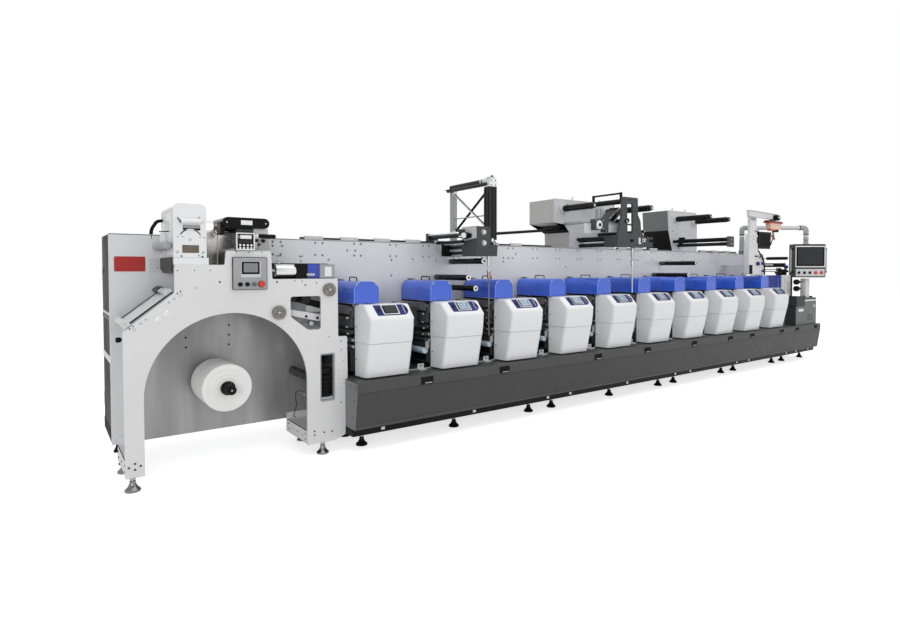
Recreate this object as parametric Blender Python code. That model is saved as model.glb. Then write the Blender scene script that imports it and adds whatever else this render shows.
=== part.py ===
"""Inline flexographic label press: unwinder, ten print units on a long base,
back wall, overhead winders and a swinging control panel.

X runs along the machine from the unwinder to the delivery end, Y runs from the
operator's side to the back, Z is up. The floor is Z = 0 and the origin is the
middle of the machine's plan. Line coordinates start at the first print unit.
"""
import bpy
import bmesh
from math import cos, pi, radians, sin
from mathutils import Matrix, Vector

# Clearances
SEAT = 0.0003            # between two pieces that rest on each other

# Print line
PITCH = 0.75             # from one print unit to the next
BED_UNITS = (3, 3, 2, 2)  # print units on each bed module
BED_LEAD = 0.10          # bed before the first unit
END_BED = 0.93           # end module after the last bed
BED_TOP = 0.593
BED_BROW = 0.093         # upright band above the fold in the skirt
BED_CREASE = BED_TOP - BED_BROW
BED_FOLD_DROP = 0.30     # height of the leaning lower skirt
BED_LEAN = 0.045         # how far the skirt leans back at its foot
PLINTH_H = 0.135         # underside of the frame under the skirt
PLINTH_SETBACK = 0.10
FOOT_R = 0.05
FOOT_STEM_R = 0.016
FOOT_Y = (0.28, 0.62)
HAND_HOLE = (0.11, 0.055, 0.03)   # width, height, depth
HAND_HOLE_AT = {3: (0.295, 0.683), 2: (0.135, 0.722), 0: (0.115, 0.80)}   # share of a bed's length

# Back wall
WALL_Y = 0.753
WALL_T = 0.025
PLATE_X0 = -1.67         # left edge of the unwinder's front plate
WALL_X0 = PLATE_X0 - 0.03
LINE_END = -BED_LEAD + PITCH * sum(BED_UNITS) + END_BED
WALL_SHORT = 1.289       # the wall stops this far before the end of the line
WALL_X1 = LINE_END - WALL_SHORT
WALL_FOOT = 0.209
WALL_TOP = 1.765
RAIL_H = 0.030
RAIL_BLOCK = 0.17

# Cowl of a print unit
COWL_W = 0.443           # at the back, over the print deck
COWL_X = -0.005
COWL_TAPER = 0.06        # each side narrows by this share of the depth toward the front
COWL_GAP = 0.015         # shadow gap over the bed
COWL_H = 0.60
COWL_FOOT = BED_TOP + COWL_GAP
COWL_TOP = COWL_FOOT + COWL_H
COWL_SEAM = COWL_FOOT + 0.47 * COWL_H
COWL_BACK = 0.25
COWL_EDGE = 0.028
# The front from the foot up, as depth and share of the height: it leans out to
# the bulge, and a flat slope for the controls ends just under the top
COWL_FRONT = ((0.072, 0.0), (0.064, 0.045), (0.045, 0.178), (0.022, 0.337), (0.003, 0.48), (-0.011, 0.605),
              (-0.018, 0.712), (-0.018, 0.778), (-0.008, 0.824), (0.008, 0.849), (0.095, 0.9925), (0.125, 1.0))

# Print deck
FRAME_T = 0.022
FRAME_W = 0.49
FRAME_TOP = COWL_TOP - 0.043
CYL_R = 0.085
ANILOX_R = 0.055
IDLER_R = 0.030
IDLER_X = FRAME_W + 0.21
IDLER_Z = BED_TOP + 0.162
DRYER = (0.17, 0.40, 0.19)   # length, depth, height
DRYER_GAP = 0.01         # from the frame plate to the dryer box

# Guard over a print deck
GUARD_W = 0.232
GUARD_X = -0.034
GUARD_Y = 0.200
GUARD_BACK = WALL_Y - 0.023
GUARD_GAP = 0.006        # from a cowl's top to the guard's foot
GUARD_RISE = 0.186       # height of a guard
GUARD_FOOT = COWL_TOP + GUARD_GAP
GUARD_TOP = GUARD_FOOT + GUARD_RISE
GUARD_T = 0.005
GUARD_ROUND = 0.085
HINGE_R = 0.0075
HINGE_EAR = 0.010
HANDLE_W = 0.145
HANDLE_H = 0.030
HANDLE_X, HANDLE_Y = 0.134, 0.230   # from the guard's left and front

# Unwinder
PLATE_Y = 0.230          # front face of the front plate
PLATE_T = 0.020
LEG_W = 0.115            # plate to the left of the arch
PIER_W = 0.323           # plate between the arch and the first bed
CROWN = 1.180            # top of the arch
ARCH_R = (-BED_LEAD - PIER_W - PLATE_X0 - LEG_W) / 2
ARCH_X, ARCH_Z = PLATE_X0 + LEG_W + ARCH_R, CROWN - ARCH_R
# Heights over the arch, which rise and sink with it
SHOULDER_LOW = CROWN - 0.092   # left end of the slanted shoulder
SHOULDER_TOP = CROWN + 0.156
NOTCH_Z = CROWN + 0.245        # seat of the infeed nip
STEP_Z = CROWN + 0.352         # seat of the treater tower
PLATE_TOP = CROWN + 0.457      # seat of the web guide
LEG_FOOT = 0.100
TIE_H = 0.110
ROLL_X, ROLL_Z, ROLL_R = ARCH_X - 0.016, ARCH_Z + 0.006, 0.175
ROLL_Y0, ROLL_Y1 = 0.300, 0.680
SHAFT_R = 0.038

# Right end
END_FRAME_W = 0.33       # delivery frame on the last module

# Rear cabinets
CAB_BACK = 1.42
CAB_TOP = 1.765
CAB_FOOT = WALL_FOOT
CAB_COUNT = 5

# Winder housings
WINDER_BACK = 1.205
WINDER_PLATE_T = 0.022
WIND_SHAFT_R = 0.038

# Wall idlers
ROLLER_R = 0.028
ROLLER_TIP = 0.18

# Control panel arm
ARM_R = 0.034
ARM_X, ARM_Y = WALL_X1 + 0.209, 0.80
ARM_Z = 2.19
ARM_REACH = 1.07
ARM_YAW = radians(-37.2)
PANEL_W, PANEL_H, PANEL_D = 0.52, 0.55, 0.14
PANEL_TOP = 1.915

scene = bpy.context.scene
for old in list(bpy.data.objects):
    bpy.data.objects.remove(old, do_unlink=True)


def paint(name, colour, rough=0.5, metal=0.0, alpha=1.0):
    mat = bpy.data.materials.new(name)
    mat.use_nodes = True
    shader = mat.node_tree.nodes["Principled BSDF"]
    shader.inputs["Base Color"].default_value = (*colour, 1.0)
    shader.inputs["Roughness"].default_value = rough
    shader.inputs["Metallic"].default_value = metal
    shader.inputs["Alpha"].default_value = alpha
    return mat


COLOURS = {
    "white": ((0.86, 0.86, 0.86), 0.35, 0.0),
    "wall": ((0.66, 0.67, 0.68), 0.45, 0.2),
    "bed": ((0.085, 0.088, 0.09), 0.5, 0.1),
    "grey": ((0.33, 0.33, 0.33), 0.5, 0.1),
    "dark": ((0.10, 0.10, 0.10), 0.5, 0.2),
    "black": ((0.015, 0.015, 0.015), 0.4, 0.0),
    "steel": ((0.60, 0.60, 0.60), 0.3, 0.9),
    "guard": ((0.06, 0.12, 0.55), 0.15, 0.0),
    "paper": ((0.90, 0.90, 0.88), 0.8, 0.0),
}


def shape(build):
    """A mesh from a function that fills a bmesh."""
    bm = bmesh.new()
    build(bm)
    bmesh.ops.recalc_face_normals(bm, faces=bm.faces)
    mesh = bpy.data.meshes.new("shape")
    bm.to_mesh(mesh)
    bm.free()
    return mesh


def box(x0, x1, y0, y1, z0, z1, edge=0.0, segs=1):
    def build(bm):
        bmesh.ops.create_cube(bm, size=1.0)
        bmesh.ops.scale(bm, vec=(x1 - x0, y1 - y0, z1 - z0), verts=bm.verts)
        bmesh.ops.translate(bm, vec=((x0 + x1) / 2, (y0 + y1) / 2, (z0 + z1) / 2), verts=bm.verts)
        if edge:
            bmesh.ops.bevel(bm, geom=list(bm.edges), offset=edge, segments=segs,
                            profile=0.5, affect='EDGES')
    return shape(build)


def prism(outline, axis, a, b):
    """An outline extruded along an axis. The outline's two numbers are the other two axes."""
    def place(p, t):
        if axis == 'x':
            return (t, p[0], p[1])
        if axis == 'y':
            return (p[0], t, p[1])
        return (p[0], p[1], t)

    def build(bm):
        face = bm.faces.new([bm.verts.new(place(p, a)) for p in outline])
        moved = bmesh.ops.extrude_face_region(bm, geom=[face])
        verts = [v for v in moved["geom"] if isinstance(v, bmesh.types.BMVert)]
        step = Vector(place((0, 0), b)) - Vector(place((0, 0), a))
        bmesh.ops.translate(bm, vec=step, verts=verts)
    return shape(build)


def rod(start, end, r, r_end=None, sides=12):
    start, end = Vector(start), Vector(end)
    turn = (end - start).to_track_quat('Z', 'Y').to_matrix().to_4x4()
    place = Matrix.Translation((start + end) / 2) @ turn

    def build(bm):
        bmesh.ops.create_cone(bm, cap_ends=True, segments=sides, radius1=r,
                              radius2=r if r_end is None else r_end,
                              depth=(end - start).length, matrix=place)
    return shape(build)


def pipe(points, r, sides=10, bend=0.0):
    """A round pipe through points in one plane, its corners mitred or rounded."""
    path = [Vector(p) for p in points]
    if bend:
        rounded = [path[0]]
        for before, corner, after in zip(path, path[1:], path[2:]):
            inward, outward = (before - corner).normalized(), (after - corner).normalized()
            for step in range(5):
                t = step / 4
                a, b = corner + inward * bend * (1 - t), corner + outward * bend * t
                rounded.append(a.lerp(b, t))
        path = rounded + [path[-1]]

    def build(bm):
        rings = []
        for i, point in enumerate(path):
            ahead = (path[min(i + 1, len(path) - 1)] - point).normalized()
            back = (point - path[max(i - 1, 0)]).normalized()
            along = (ahead + back).normalized()
            side = along.orthogonal().normalized() if not rings else side
            side = (side - along * side.dot(along)).normalized()
            other = along.cross(side)
            rings.append([bm.verts.new(point + (side * cos(2 * pi * k / sides) +
                                                other * sin(2 * pi * k / sides)) * r)
                          for k in range(sides)])
        for lower, upper in zip(rings, rings[1:]):
            for k in range(sides):
                bm.faces.new((lower[k], lower[(k + 1) % sides], upper[(k + 1) % sides], upper[k]))
        bm.faces.new(rings[0])
        bm.faces.new(rings[-1])
    return shape(build)


def arc(cx, cz, r, a0, a1, steps):
    """Points on an arc, angles in degrees."""
    return [(cx + r * cos(radians(a0 + (a1 - a0) * i / steps)),
             cz + r * sin(radians(a0 + (a1 - a0) * i / steps))) for i in range(steps + 1)]


def solid(name, colour, parts, cuts=(), at=(0, 0, 0)):
    """One named object: its parts united and its cuts taken away, placed at its origin."""
    helpers = bpy.data.collections.new("helpers")
    removed = bpy.data.collections.new("removed")
    made = []
    for mesh, group in [(m, helpers) for m in parts[1:]] + [(m, removed) for m in cuts]:
        helper = bpy.data.objects.new("helper", mesh)
        group.objects.link(helper)
        made.append(helper)
    body = bpy.data.objects.new(name, parts[0])
    scene.collection.objects.link(body)
    for group, operation in ((helpers, 'UNION'), (removed, 'DIFFERENCE')):
        if not group.objects:
            continue
        scene.collection.children.link(group)
        step = body.modifiers.new(operation, 'BOOLEAN')
        step.operand_type = 'COLLECTION'
        step.collection = group
        step.operation = operation
        step.solver = 'EXACT'
        step.use_self = operation == 'UNION'
    if made:
        depsgraph = bpy.context.evaluated_depsgraph_get()
        mesh = bpy.data.meshes.new_from_object(body.evaluated_get(depsgraph))
        body.modifiers.clear()
        body.data = mesh
    for helper in made:
        bpy.data.objects.remove(helper, do_unlink=True)
    for group in (helpers, removed):
        bpy.data.collections.remove(group)
    bm = bmesh.new()
    bm.from_mesh(body.data)
    bmesh.ops.remove_doubles(bm, verts=bm.verts, dist=0.00002)
    bmesh.ops.dissolve_limit(bm, angle_limit=radians(0.3), verts=bm.verts, edges=bm.edges)
    bmesh.ops.triangulate(bm, faces=[f for f in bm.faces if len(f.verts) > 4])
    bmesh.ops.translate(bm, vec=-Vector(at), verts=bm.verts)
    bm.to_mesh(body.data)
    bm.free()
    body.data.name = name
    body.data.materials.clear()
    body.data.materials.append(paint(name, *COLOURS[colour]))
    body.data.shade_smooth()
    body.data.set_sharp_from_angle(angle=radians(32))
    body.location = at
    return body


def centre_on_plan():
    """Puts the origin under the middle of the machine's plan."""
    corners = [body.location + Vector(c) for body in scene.collection.objects for c in body.bound_box]
    middle = [(min(c[k] for c in corners) + max(c[k] for c in corners)) / 2 for k in (0, 1)]
    for body in scene.collection.objects:
        body.location -= Vector((*middle, 0.0))


# Print deck of one unit, one with the bed under it

def print_deck(x):
    """Side frames, cylinders, lead roller, dryer box and the ink tray under the guard."""
    front = COWL_BACK + SEAT
    back = WALL_Y - SEAT
    sill = BED_TOP - 0.005
    inner = front + FRAME_T
    outer = back - FRAME_T
    into = FRAME_T / 2
    length, depth, height = DRYER
    step = 0.06
    end = x + FRAME_W
    dryer_x = end + DRYER_GAP
    skirt = IDLER_Z - 2 * IDLER_R
    parts = [prism([(x, sill), (end, sill), (end, FRAME_TOP - 4 * step), (end - step, FRAME_TOP - 3 * step),
                    (end - step, FRAME_TOP - step), (end - 2 * step, FRAME_TOP), (x, FRAME_TOP)],
                   'y', front, inner),
             prism([(x, sill), (dryer_x, sill), (dryer_x + 0.05, skirt), (dryer_x + length - 0.01, skirt),
                    (dryer_x + length - 0.01, FRAME_TOP - 0.02), (x, FRAME_TOP - 0.02)], 'y', outer, back),
             box(dryer_x + length - 0.02, x + IDLER_X + IDLER_R * 0.6, outer + 0.002, back - 0.002, skirt + 0.004,
                 IDLER_Z + IDLER_R * 0.5)]
    for share, drop, r, sides in ((0.55, 0.235, CYL_R, 10), (0.235, 0.12, ANILOX_R, 8), (0.80, 0.445, ANILOX_R, 8)):
        cx, cz = x + share * FRAME_W, FRAME_TOP - drop
        parts.append(rod((cx, front + into, cz), (cx, back - into, cz), r, sides=sides))
    tray = FRAME_TOP - step / 2
    parts.append(box(x + 0.005, x + 0.41 * FRAME_W, inner - 0.006, outer + 0.006, tray, tray + step))
    idler_x = x + IDLER_X
    parts.append(rod((idler_x, front + 0.012, IDLER_Z), (idler_x, outer + 0.01, IDLER_Z), IDLER_R, sides=8))
    parts.append(box(dryer_x, dryer_x + length, back - depth, outer + 0.01, FRAME_TOP - height, FRAME_TOP))
    return parts


def foot(x, y, top):
    """Levelling foot: pad, cone and the stem that goes up into the frame."""
    profile = [(FOOT_R, 0.0), (FOOT_R, 0.012), (FOOT_STEM_R * 1.3, 0.075), (FOOT_STEM_R, top)]

    sides = 6

    def build(bm):
        rings = [[bm.verts.new((x + r * cos(2 * pi * k / sides), y + r * sin(2 * pi * k / sides), z))
                  for k in range(sides)] for r, z in profile]
        for lower, upper in zip(rings, rings[1:]):
            for k in range(sides):
                bm.faces.new((lower[k], lower[(k + 1) % sides], upper[(k + 1) % sides], upper[k]))
        bm.faces.new(rings[0])
        bm.faces.new(rings[-1])
    return [shape(build)]


def bed(number, x0, x1, units, feet):
    """A bed module: skirt with its crease, frame, hand holes, feet and print decks."""
    a, b = x0 + SEAT / 2, x1 - SEAT / 2
    back = WALL_Y - SEAT
    hem = BED_CREASE - BED_FOLD_DROP
    outline = [(0.004, BED_TOP), (0.0, BED_TOP - 0.006), (0.0, BED_CREASE), (BED_LEAN, hem),
               (PLINTH_SETBACK, hem), (PLINTH_SETBACK, PLINTH_H), (back - PLINTH_SETBACK, PLINTH_H),
               (back - PLINTH_SETBACK, hem), (back, hem), (back, BED_TOP)]
    parts = [prism(outline, 'x', a, b)]
    for x in feet:
        for y in FOOT_Y:
            parts += foot(x, y, PLINTH_H + 0.01)
    for x in units:
        parts += print_deck(x)
    wide, high, deep = HAND_HOLE
    cuts = []
    for x in hand_holes(x0, x1, units):
        cuts.append(box(x - wide / 2, x + wide / 2, -0.02, deep, BED_CREASE + 0.01, BED_CREASE + 0.01 + high))
    solid("bed_%d" % number, "bed", parts, cuts)


def hand_holes(x0, x1, units):
    """Two hand holes in a bed."""
    return [x0 + (x1 - x0) * share for share in HAND_HOLE_AT[len(units)]]


# Cowl

def cowl_outline():
    """The cowl from the side, as (y, z) from the foot up the front and over the top."""
    front = [(y, COWL_FOOT + share * COWL_H) for y, share in COWL_FRONT]
    return [(COWL_BACK, COWL_FOOT)] + front + [(COWL_BACK, COWL_TOP)]


def cowl(number, x):
    outline = cowl_outline()

    def build(bm):
        left, right = [], []
        for y, z in outline:
            lean = (COWL_BACK - y) * COWL_TAPER
            left.append(bm.verts.new((x + COWL_X + lean, y, z)))
            right.append(bm.verts.new((x + COWL_X + COWL_W - lean, y, z)))
        count = len(outline)
        for i in range(count):
            j = (i + 1) % count
            bm.faces.new((left[i], left[j], right[j], right[i]))
        sides = [bm.faces.new(left), bm.faces.new(right)]
        rim = [e for face in sides for e in face.edges
               if not all(abs(v.co.y - COWL_BACK) < 1e-6 for v in e.verts)
               and not all(abs(v.co.z - COWL_FOOT) < 1e-6 for v in e.verts)]
        bmesh.ops.bevel(bm, geom=rim, offset=COWL_EDGE, segments=2, profile=0.5, affect='EDGES',
                        clamp_overlap=True)
    solid("cowl_%02d" % number, "white", [shape(build)])


# Guard

def guard_hinge():
    """The hinge line of every guard, as (y, z): behind its top edge, on the back wall."""
    return GUARD_BACK + HINGE_R + 0.0005, GUARD_TOP + 0.002


def guard(number, x):
    """Arch-section guard with a closed front, hinged on the wall behind its top."""
    x0, x1 = x + GUARD_X, x + GUARD_X + GUARD_W
    r = GUARD_ROUND

    def arch(inset, foot_z):
        a, b, top = x0 + inset, x1 - inset, GUARD_TOP - inset
        rr = r - inset
        return ([(a, foot_z), (b, foot_z)] + arc(b - rr, top - rr, rr, 0, 90, 3) +
                arc(a + rr, top - rr, rr, 90, 180, 3))
    hollow = prism(arch(GUARD_T, GUARD_FOOT - 0.05), 'y', GUARD_Y + GUARD_T, GUARD_BACK + 0.05)
    hinge_y, hinge_z = guard_hinge()
    a, b = x0 + r + HINGE_EAR + SEAT, x1 - r - HINGE_EAR - SEAT
    barrel = rod((a, hinge_y, hinge_z), (b, hinge_y, hinge_z), HINGE_R, sides=6)
    strap = box(a + 0.004, b - 0.004, GUARD_BACK - 0.012, hinge_y, GUARD_TOP - GUARD_T * 0.5, hinge_z + 0.001)
    grip_y = GUARD_Y + HANDLE_Y
    grip_x = x0 + HANDLE_X
    grip = pipe([(grip_x, grip_y, GUARD_TOP - 0.012), (grip_x, grip_y, GUARD_TOP + HANDLE_H),
                 (grip_x, grip_y + HANDLE_W, GUARD_TOP + HANDLE_H),
                 (grip_x, grip_y + HANDLE_W, GUARD_TOP - 0.012)], 0.005, sides=5)
    solid("guard_%02d" % number, "guard", [prism(arch(0.0, GUARD_FOOT), 'y', GUARD_Y, GUARD_BACK),
                                           strap, barrel, grip],
          [hollow], at=((x0 + x1) / 2, hinge_y, hinge_z))


# Back wall and what hangs on it

def back_wall():
    parts = [box(WALL_X0, WALL_X1, WALL_Y, WALL_Y + WALL_T, WALL_FOOT, WALL_TOP)]
    for x0, x1 in ((-0.28, 2.78), (3.98, 5.16), (5.90, WALL_X1 - 0.05)):
        parts.append(box(x0, x1, WALL_Y + 0.004, WALL_Y + WALL_T - 0.004, WALL_TOP - 0.01, WALL_TOP + RAIL_H * 0.7))
        blocks = int((x1 - x0) / (2 * RAIL_BLOCK))
        for i in range(blocks):
            x = x0 + 0.04 + i * 2 * RAIL_BLOCK
            parts.append(box(x, x + RAIL_BLOCK, WALL_Y + 0.002, WALL_Y + WALL_T - 0.002,
                             WALL_TOP + 0.002, WALL_TOP + RAIL_H))
    hinge_y, hinge_z = guard_hinge()
    for i in range(sum(BED_UNITS)):
        x0 = PITCH * i + GUARD_X + GUARD_ROUND
        for x in (x0, x0 + GUARD_W - 2 * GUARD_ROUND - HINGE_EAR):
            ear = arc(hinge_y, hinge_z, HINGE_R, 90, 270, 2) + [(WALL_Y + 0.004, hinge_z - HINGE_R),
                                                               (WALL_Y + 0.004, hinge_z + HINGE_R)]
            parts.append(prism(ear, 'x', x, x + HINGE_EAR))
    solid("back_wall", "wall", parts)


def wall_roller(name, x, z, tip=ROLLER_TIP):
    """An idler that turns on a stub fixed to the wall, kept as one turning piece."""
    root = WALL_Y - SEAT
    parts = [rod((x, tip + 0.02, z), (x, root - 0.02, z), ROLLER_R, sides=12),
             rod((x, tip, z), (x, root, z), ROLLER_R * 0.6, sides=8)]
    solid(name, "black", parts, at=(x, (tip + root) / 2, z))


def rear_cabinets():
    front = WALL_Y + WALL_T + SEAT
    x0, x1 = WALL_X0, WALL_X1
    parts = [box(x0, x1, front, CAB_BACK, CAB_FOOT, CAB_TOP)]
    span = (x1 - x0) / CAB_COUNT
    cuts = [box(x0 + i * span - 0.004, x0 + i * span + 0.004, CAB_BACK - 0.01, CAB_BACK + 0.02,
                CAB_FOOT - 0.02, CAB_TOP + 0.02) for i in range(1, CAB_COUNT)]
    for i in range(CAB_COUNT + 1):
        x = x0 + 0.08 + i * (x1 - x0 - 0.16) / CAB_COUNT
        for y in (front + 0.08, CAB_BACK - 0.08):
            parts.append(rod((x, y, 0.0), (x, y, CAB_FOOT + 0.01), 0.035, sides=6))
    solid("rear_cabinets", "grey", parts, cuts)


# Unwinder

def unwinder():
    y0, y1 = PLATE_Y, PLATE_Y + PLATE_T
    right = -0.08
    low_right = -BED_LEAD - SEAT
    x0 = PLATE_X0
    outline = ([(x0, LEG_FOOT), (x0 - 0.002, SHOULDER_LOW), (x0 + 0.023, SHOULDER_LOW + 0.018), (-1.361, SHOULDER_TOP),
                (-1.36, STEP_Z), (-1.023, STEP_Z), (-1.004, PLATE_TOP), (-0.70, PLATE_TOP), (-0.684, NOTCH_Z),
                (-0.161, NOTCH_Z),
                (-0.161, 0.949), (right - 0.011, 0.949), (right, 0.938), (right, BED_TOP + SEAT),
                (low_right, BED_TOP + SEAT), (low_right, PLINTH_H), (-0.195, LEG_FOOT),
                (ARCH_X + ARCH_R, LEG_FOOT)] +
               arc(ARCH_X, ARCH_Z, ARCH_R, 0, 180, 20) + [(ARCH_X - ARCH_R, LEG_FOOT)])
    parts = [prism(outline, 'y', y0, y1)]
    window = prism([(-0.548, CROWN + 0.107), (-0.305, CROWN + 0.107), (-0.305, CROWN - 0.158), (-0.414, CROWN - 0.158),
                    (-0.548, CROWN - 0.055)],
                   'y', y0 - 0.02, y1 + 0.003)
    slot = box(-0.31, -0.20, y0 - 0.02, y1 + 0.003, 0.408, 0.816)
    parts.append(box(-0.60, -0.41, y1 - 0.004, y1 + 0.016, CROWN - 0.030, CROWN + 0.050))
    back = WALL_Y - SEAT
    for left, wide in ((x0 + 0.005, 0.87 * LEG_W), (ARCH_X + ARCH_R + 0.008, 0.665 * PIER_W)):
        parts.append(box(left, left + wide, y1 - 0.005, back, LEG_FOOT, LEG_FOOT + TIE_H))
        parts.append(box(left, left + wide, back - 0.02, back, LEG_FOOT, WALL_FOOT + 0.05))
    # Splice table along the shoulder, from the plate to the wall
    a, b = (x0 + 0.030, SHOULDER_LOW + 0.024), (-1.372, SHOULDER_TOP - 0.008)
    along = Vector((b[0] - a[0], b[1] - a[1])).normalized()
    out = Vector((-along.y, along.x))
    lift = 0.030
    parts.append(prism([(a[0] + out.x * 0.001, a[1] - 0.02), (b[0], b[1] - 0.03), (b[0] + out.x * lift, b[1] + out.y * lift),
                        (a[0] + out.x * lift, a[1] + out.y * lift)], 'y', y1 - 0.004, back))
    for p in (a, b):
        inward = 0.05 if p is a else -0.05
        cx, cz = p[0] + along.x * inward + out.x * (lift + 0.012), p[1] + along.y * inward + out.y * (lift + 0.012)
        parts.append(rod((cx, y0 - 0.02, cz), (cx, back - 0.02, cz), 0.020, sides=8))
    # Upper cross members
    for x, z in ((-1.25, CROWN + 0.27), (-0.60, CROWN + 0.15), (-0.24, 0.98)):
        parts.append(box(x - 0.03, x + 0.03, y1 - 0.004, back, z - 0.03, z + 0.03))
    # Web rollers between the plate and the wall
    for x, z, r, tip in ((-1.44, CROWN - 0.06, 0.04, y1 - 0.006), (-0.46, CROWN + 0.01, 0.045, y1 + 0.01),
                         (-0.36, 0.62, 0.04, y1 - 0.006), (-0.52, CROWN + 0.19, 0.035, y1 - 0.006)):
        parts.append(rod((x, tip, z), (x, back, z), r, sides=10))
    # Hand discs
    for x, z, r in ((-0.64, CROWN - 0.014, 0.056), (-0.232, SHOULDER_TOP, 0.059)):
        parts.append(rod((x, y0 - 0.022, z), (x, y0 + 0.004, z), r, sides=12))
    for x in (-1.624, -0.285):
        for y in (y0 + 0.04, back - 0.03):
            parts += foot(x, y, LEG_FOOT + 0.01)
    solid("unwinder_frame", "white", parts, [window, slot])


def paper_roll():
    back = WALL_Y - SEAT
    at = (ROLL_X, (ROLL_Y0 + ROLL_Y1) / 2, ROLL_Z)
    parts = [rod((ROLL_X, ROLL_Y0, ROLL_Z), (ROLL_X, ROLL_Y1, ROLL_Z), ROLL_R, sides=28),
             rod((ROLL_X, ROLL_Y0 - 0.03, ROLL_Z), (ROLL_X, back, ROLL_Z), SHAFT_R, sides=14)]
    solid("paper_roll", "paper", parts, at=at)


def treater_tower():
    y0, y1 = PLATE_Y + 0.002, WALL_Y - 0.06
    base = STEP_Z + SEAT
    x0, x1 = -1.362, -1.150
    shoulder = STEP_Z + 0.388
    parts = [box(x0, x1 + 0.012, y0, y1, base, base + 0.055),
             prism([(x0, base + 0.05), (x1, base + 0.05)] + arc(x1 - 0.04, shoulder, 0.04, 0, 90, 4) +
                   arc(x0 + 0.04, shoulder, 0.04, 90, 180, 4), 'y', y0, y0 + 0.30),
             prism([(x0 + 0.012, base + 0.05), (x1 - 0.012, base + 0.05)] +
                   arc(x1 - 0.05, shoulder - 0.02, 0.04, 0, 90, 3) +
                   arc(x0 + 0.05, shoulder - 0.02, 0.04, 90, 180, 3), 'y', y0 + 0.29, y1)]
    parts.append(box(x0 - 0.06, x0 + 0.005, y0 + 0.10, y1 - 0.05, base + 0.08, base + 0.20))
    parts.append(rod((x0 - 0.05, y0 + 0.02, base + 0.14), (x0 - 0.05, y1 - 0.03, base + 0.14), 0.03, sides=10))
    solid("treater_tower", "white", parts)


def web_guide():
    base = PLATE_TOP + SEAT
    bar_z = PLATE_TOP + 0.209
    y0, y1 = PLATE_Y + 0.001, PLATE_Y + PLATE_T - 0.001
    parts = [box(-0.99, -0.72, y0, WALL_Y - 0.05, base, base + 0.02),
             box(-0.98, -0.955, y0 + 0.01, WALL_Y - 0.08, base + 0.015, bar_z - 0.031),
             box(-0.745, -0.72, y0 + 0.01, WALL_Y - 0.08, base + 0.015, bar_z - 0.031),
             prism(arc(-0.74, bar_z, 0.036, -90, 90, 6) + arc(-1.02, bar_z, 0.036, 90, 270, 6), 'y', 0.20, 0.58),
             box(-0.945, -0.82, y0 - 0.03, y1 + 0.09, base + 0.018, bar_z - 0.078),
             prism([(-1.00, base + 0.06)] + arc(-0.905, bar_z - 0.046, 0.09, 180, 0, 8) + [(-0.80, base + 0.06)],
                   'y', 0.45, WALL_Y - 0.09)]
    solid("web_guide", "grey", parts)


def operator_box():
    back = PLATE_Y - SEAT
    foot = CROWN + 0.167
    parts = [box(-0.977, -0.729, back - 0.055, back, foot, foot + 0.243, edge=0.006)]
    for i in range(4):
        x = -0.945 + i * 0.062
        parts.append(rod((x, back - 0.068, foot + 0.038), (x, back - 0.05, foot + 0.038), 0.014 if i < 3 else 0.02,
                         sides=8))
    solid("operator_box", "grey", parts)


def infeed_nip():
    """Nip rollers in the notch at the plate's right, carried by the plate and the wall."""
    base = NOTCH_Z + SEAT
    y0, back = PLATE_Y, WALL_Y - SEAT
    parts = [box(-0.66, -0.19, y0 + 0.001, y0 + PLATE_T, base, base + 0.05),
             box(-0.655, -0.60, y0 + 0.003, y0 + 0.09, base + 0.002, NOTCH_Z + 0.135),
             box(-0.49, -0.42, y0 + 0.004, y0 + 0.088, base + 0.002, NOTCH_Z + 0.133),
             box(-0.386, -0.30, y0 - 0.02, y0 + 0.12, base + 0.03, NOTCH_Z + 0.12),
             box(-0.25, -0.183, y0 + 0.002, y0 + 0.03, base + 0.001, NOTCH_Z + 0.113),
             rod((-0.545, y0 - 0.02, NOTCH_Z + 0.075), (-0.545, back, NOTCH_Z + 0.075), 0.0575, sides=12),
             rod((-0.63, y0 + 0.05, NOTCH_Z + 0.125), (-0.63, y0 + 0.05, NOTCH_Z + 0.177), 0.008, sides=8),
             rod((-0.455, y0 + 0.05, NOTCH_Z + 0.125), (-0.455, y0 + 0.05, NOTCH_Z + 0.177), 0.008, sides=8),
             rod((-0.34, y0 + 0.10, NOTCH_Z + 0.075), (-0.34, back, NOTCH_Z + 0.075), 0.03, sides=12)]
    solid("infeed_nip", "steel", parts)


# Turn-bar tower

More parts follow.
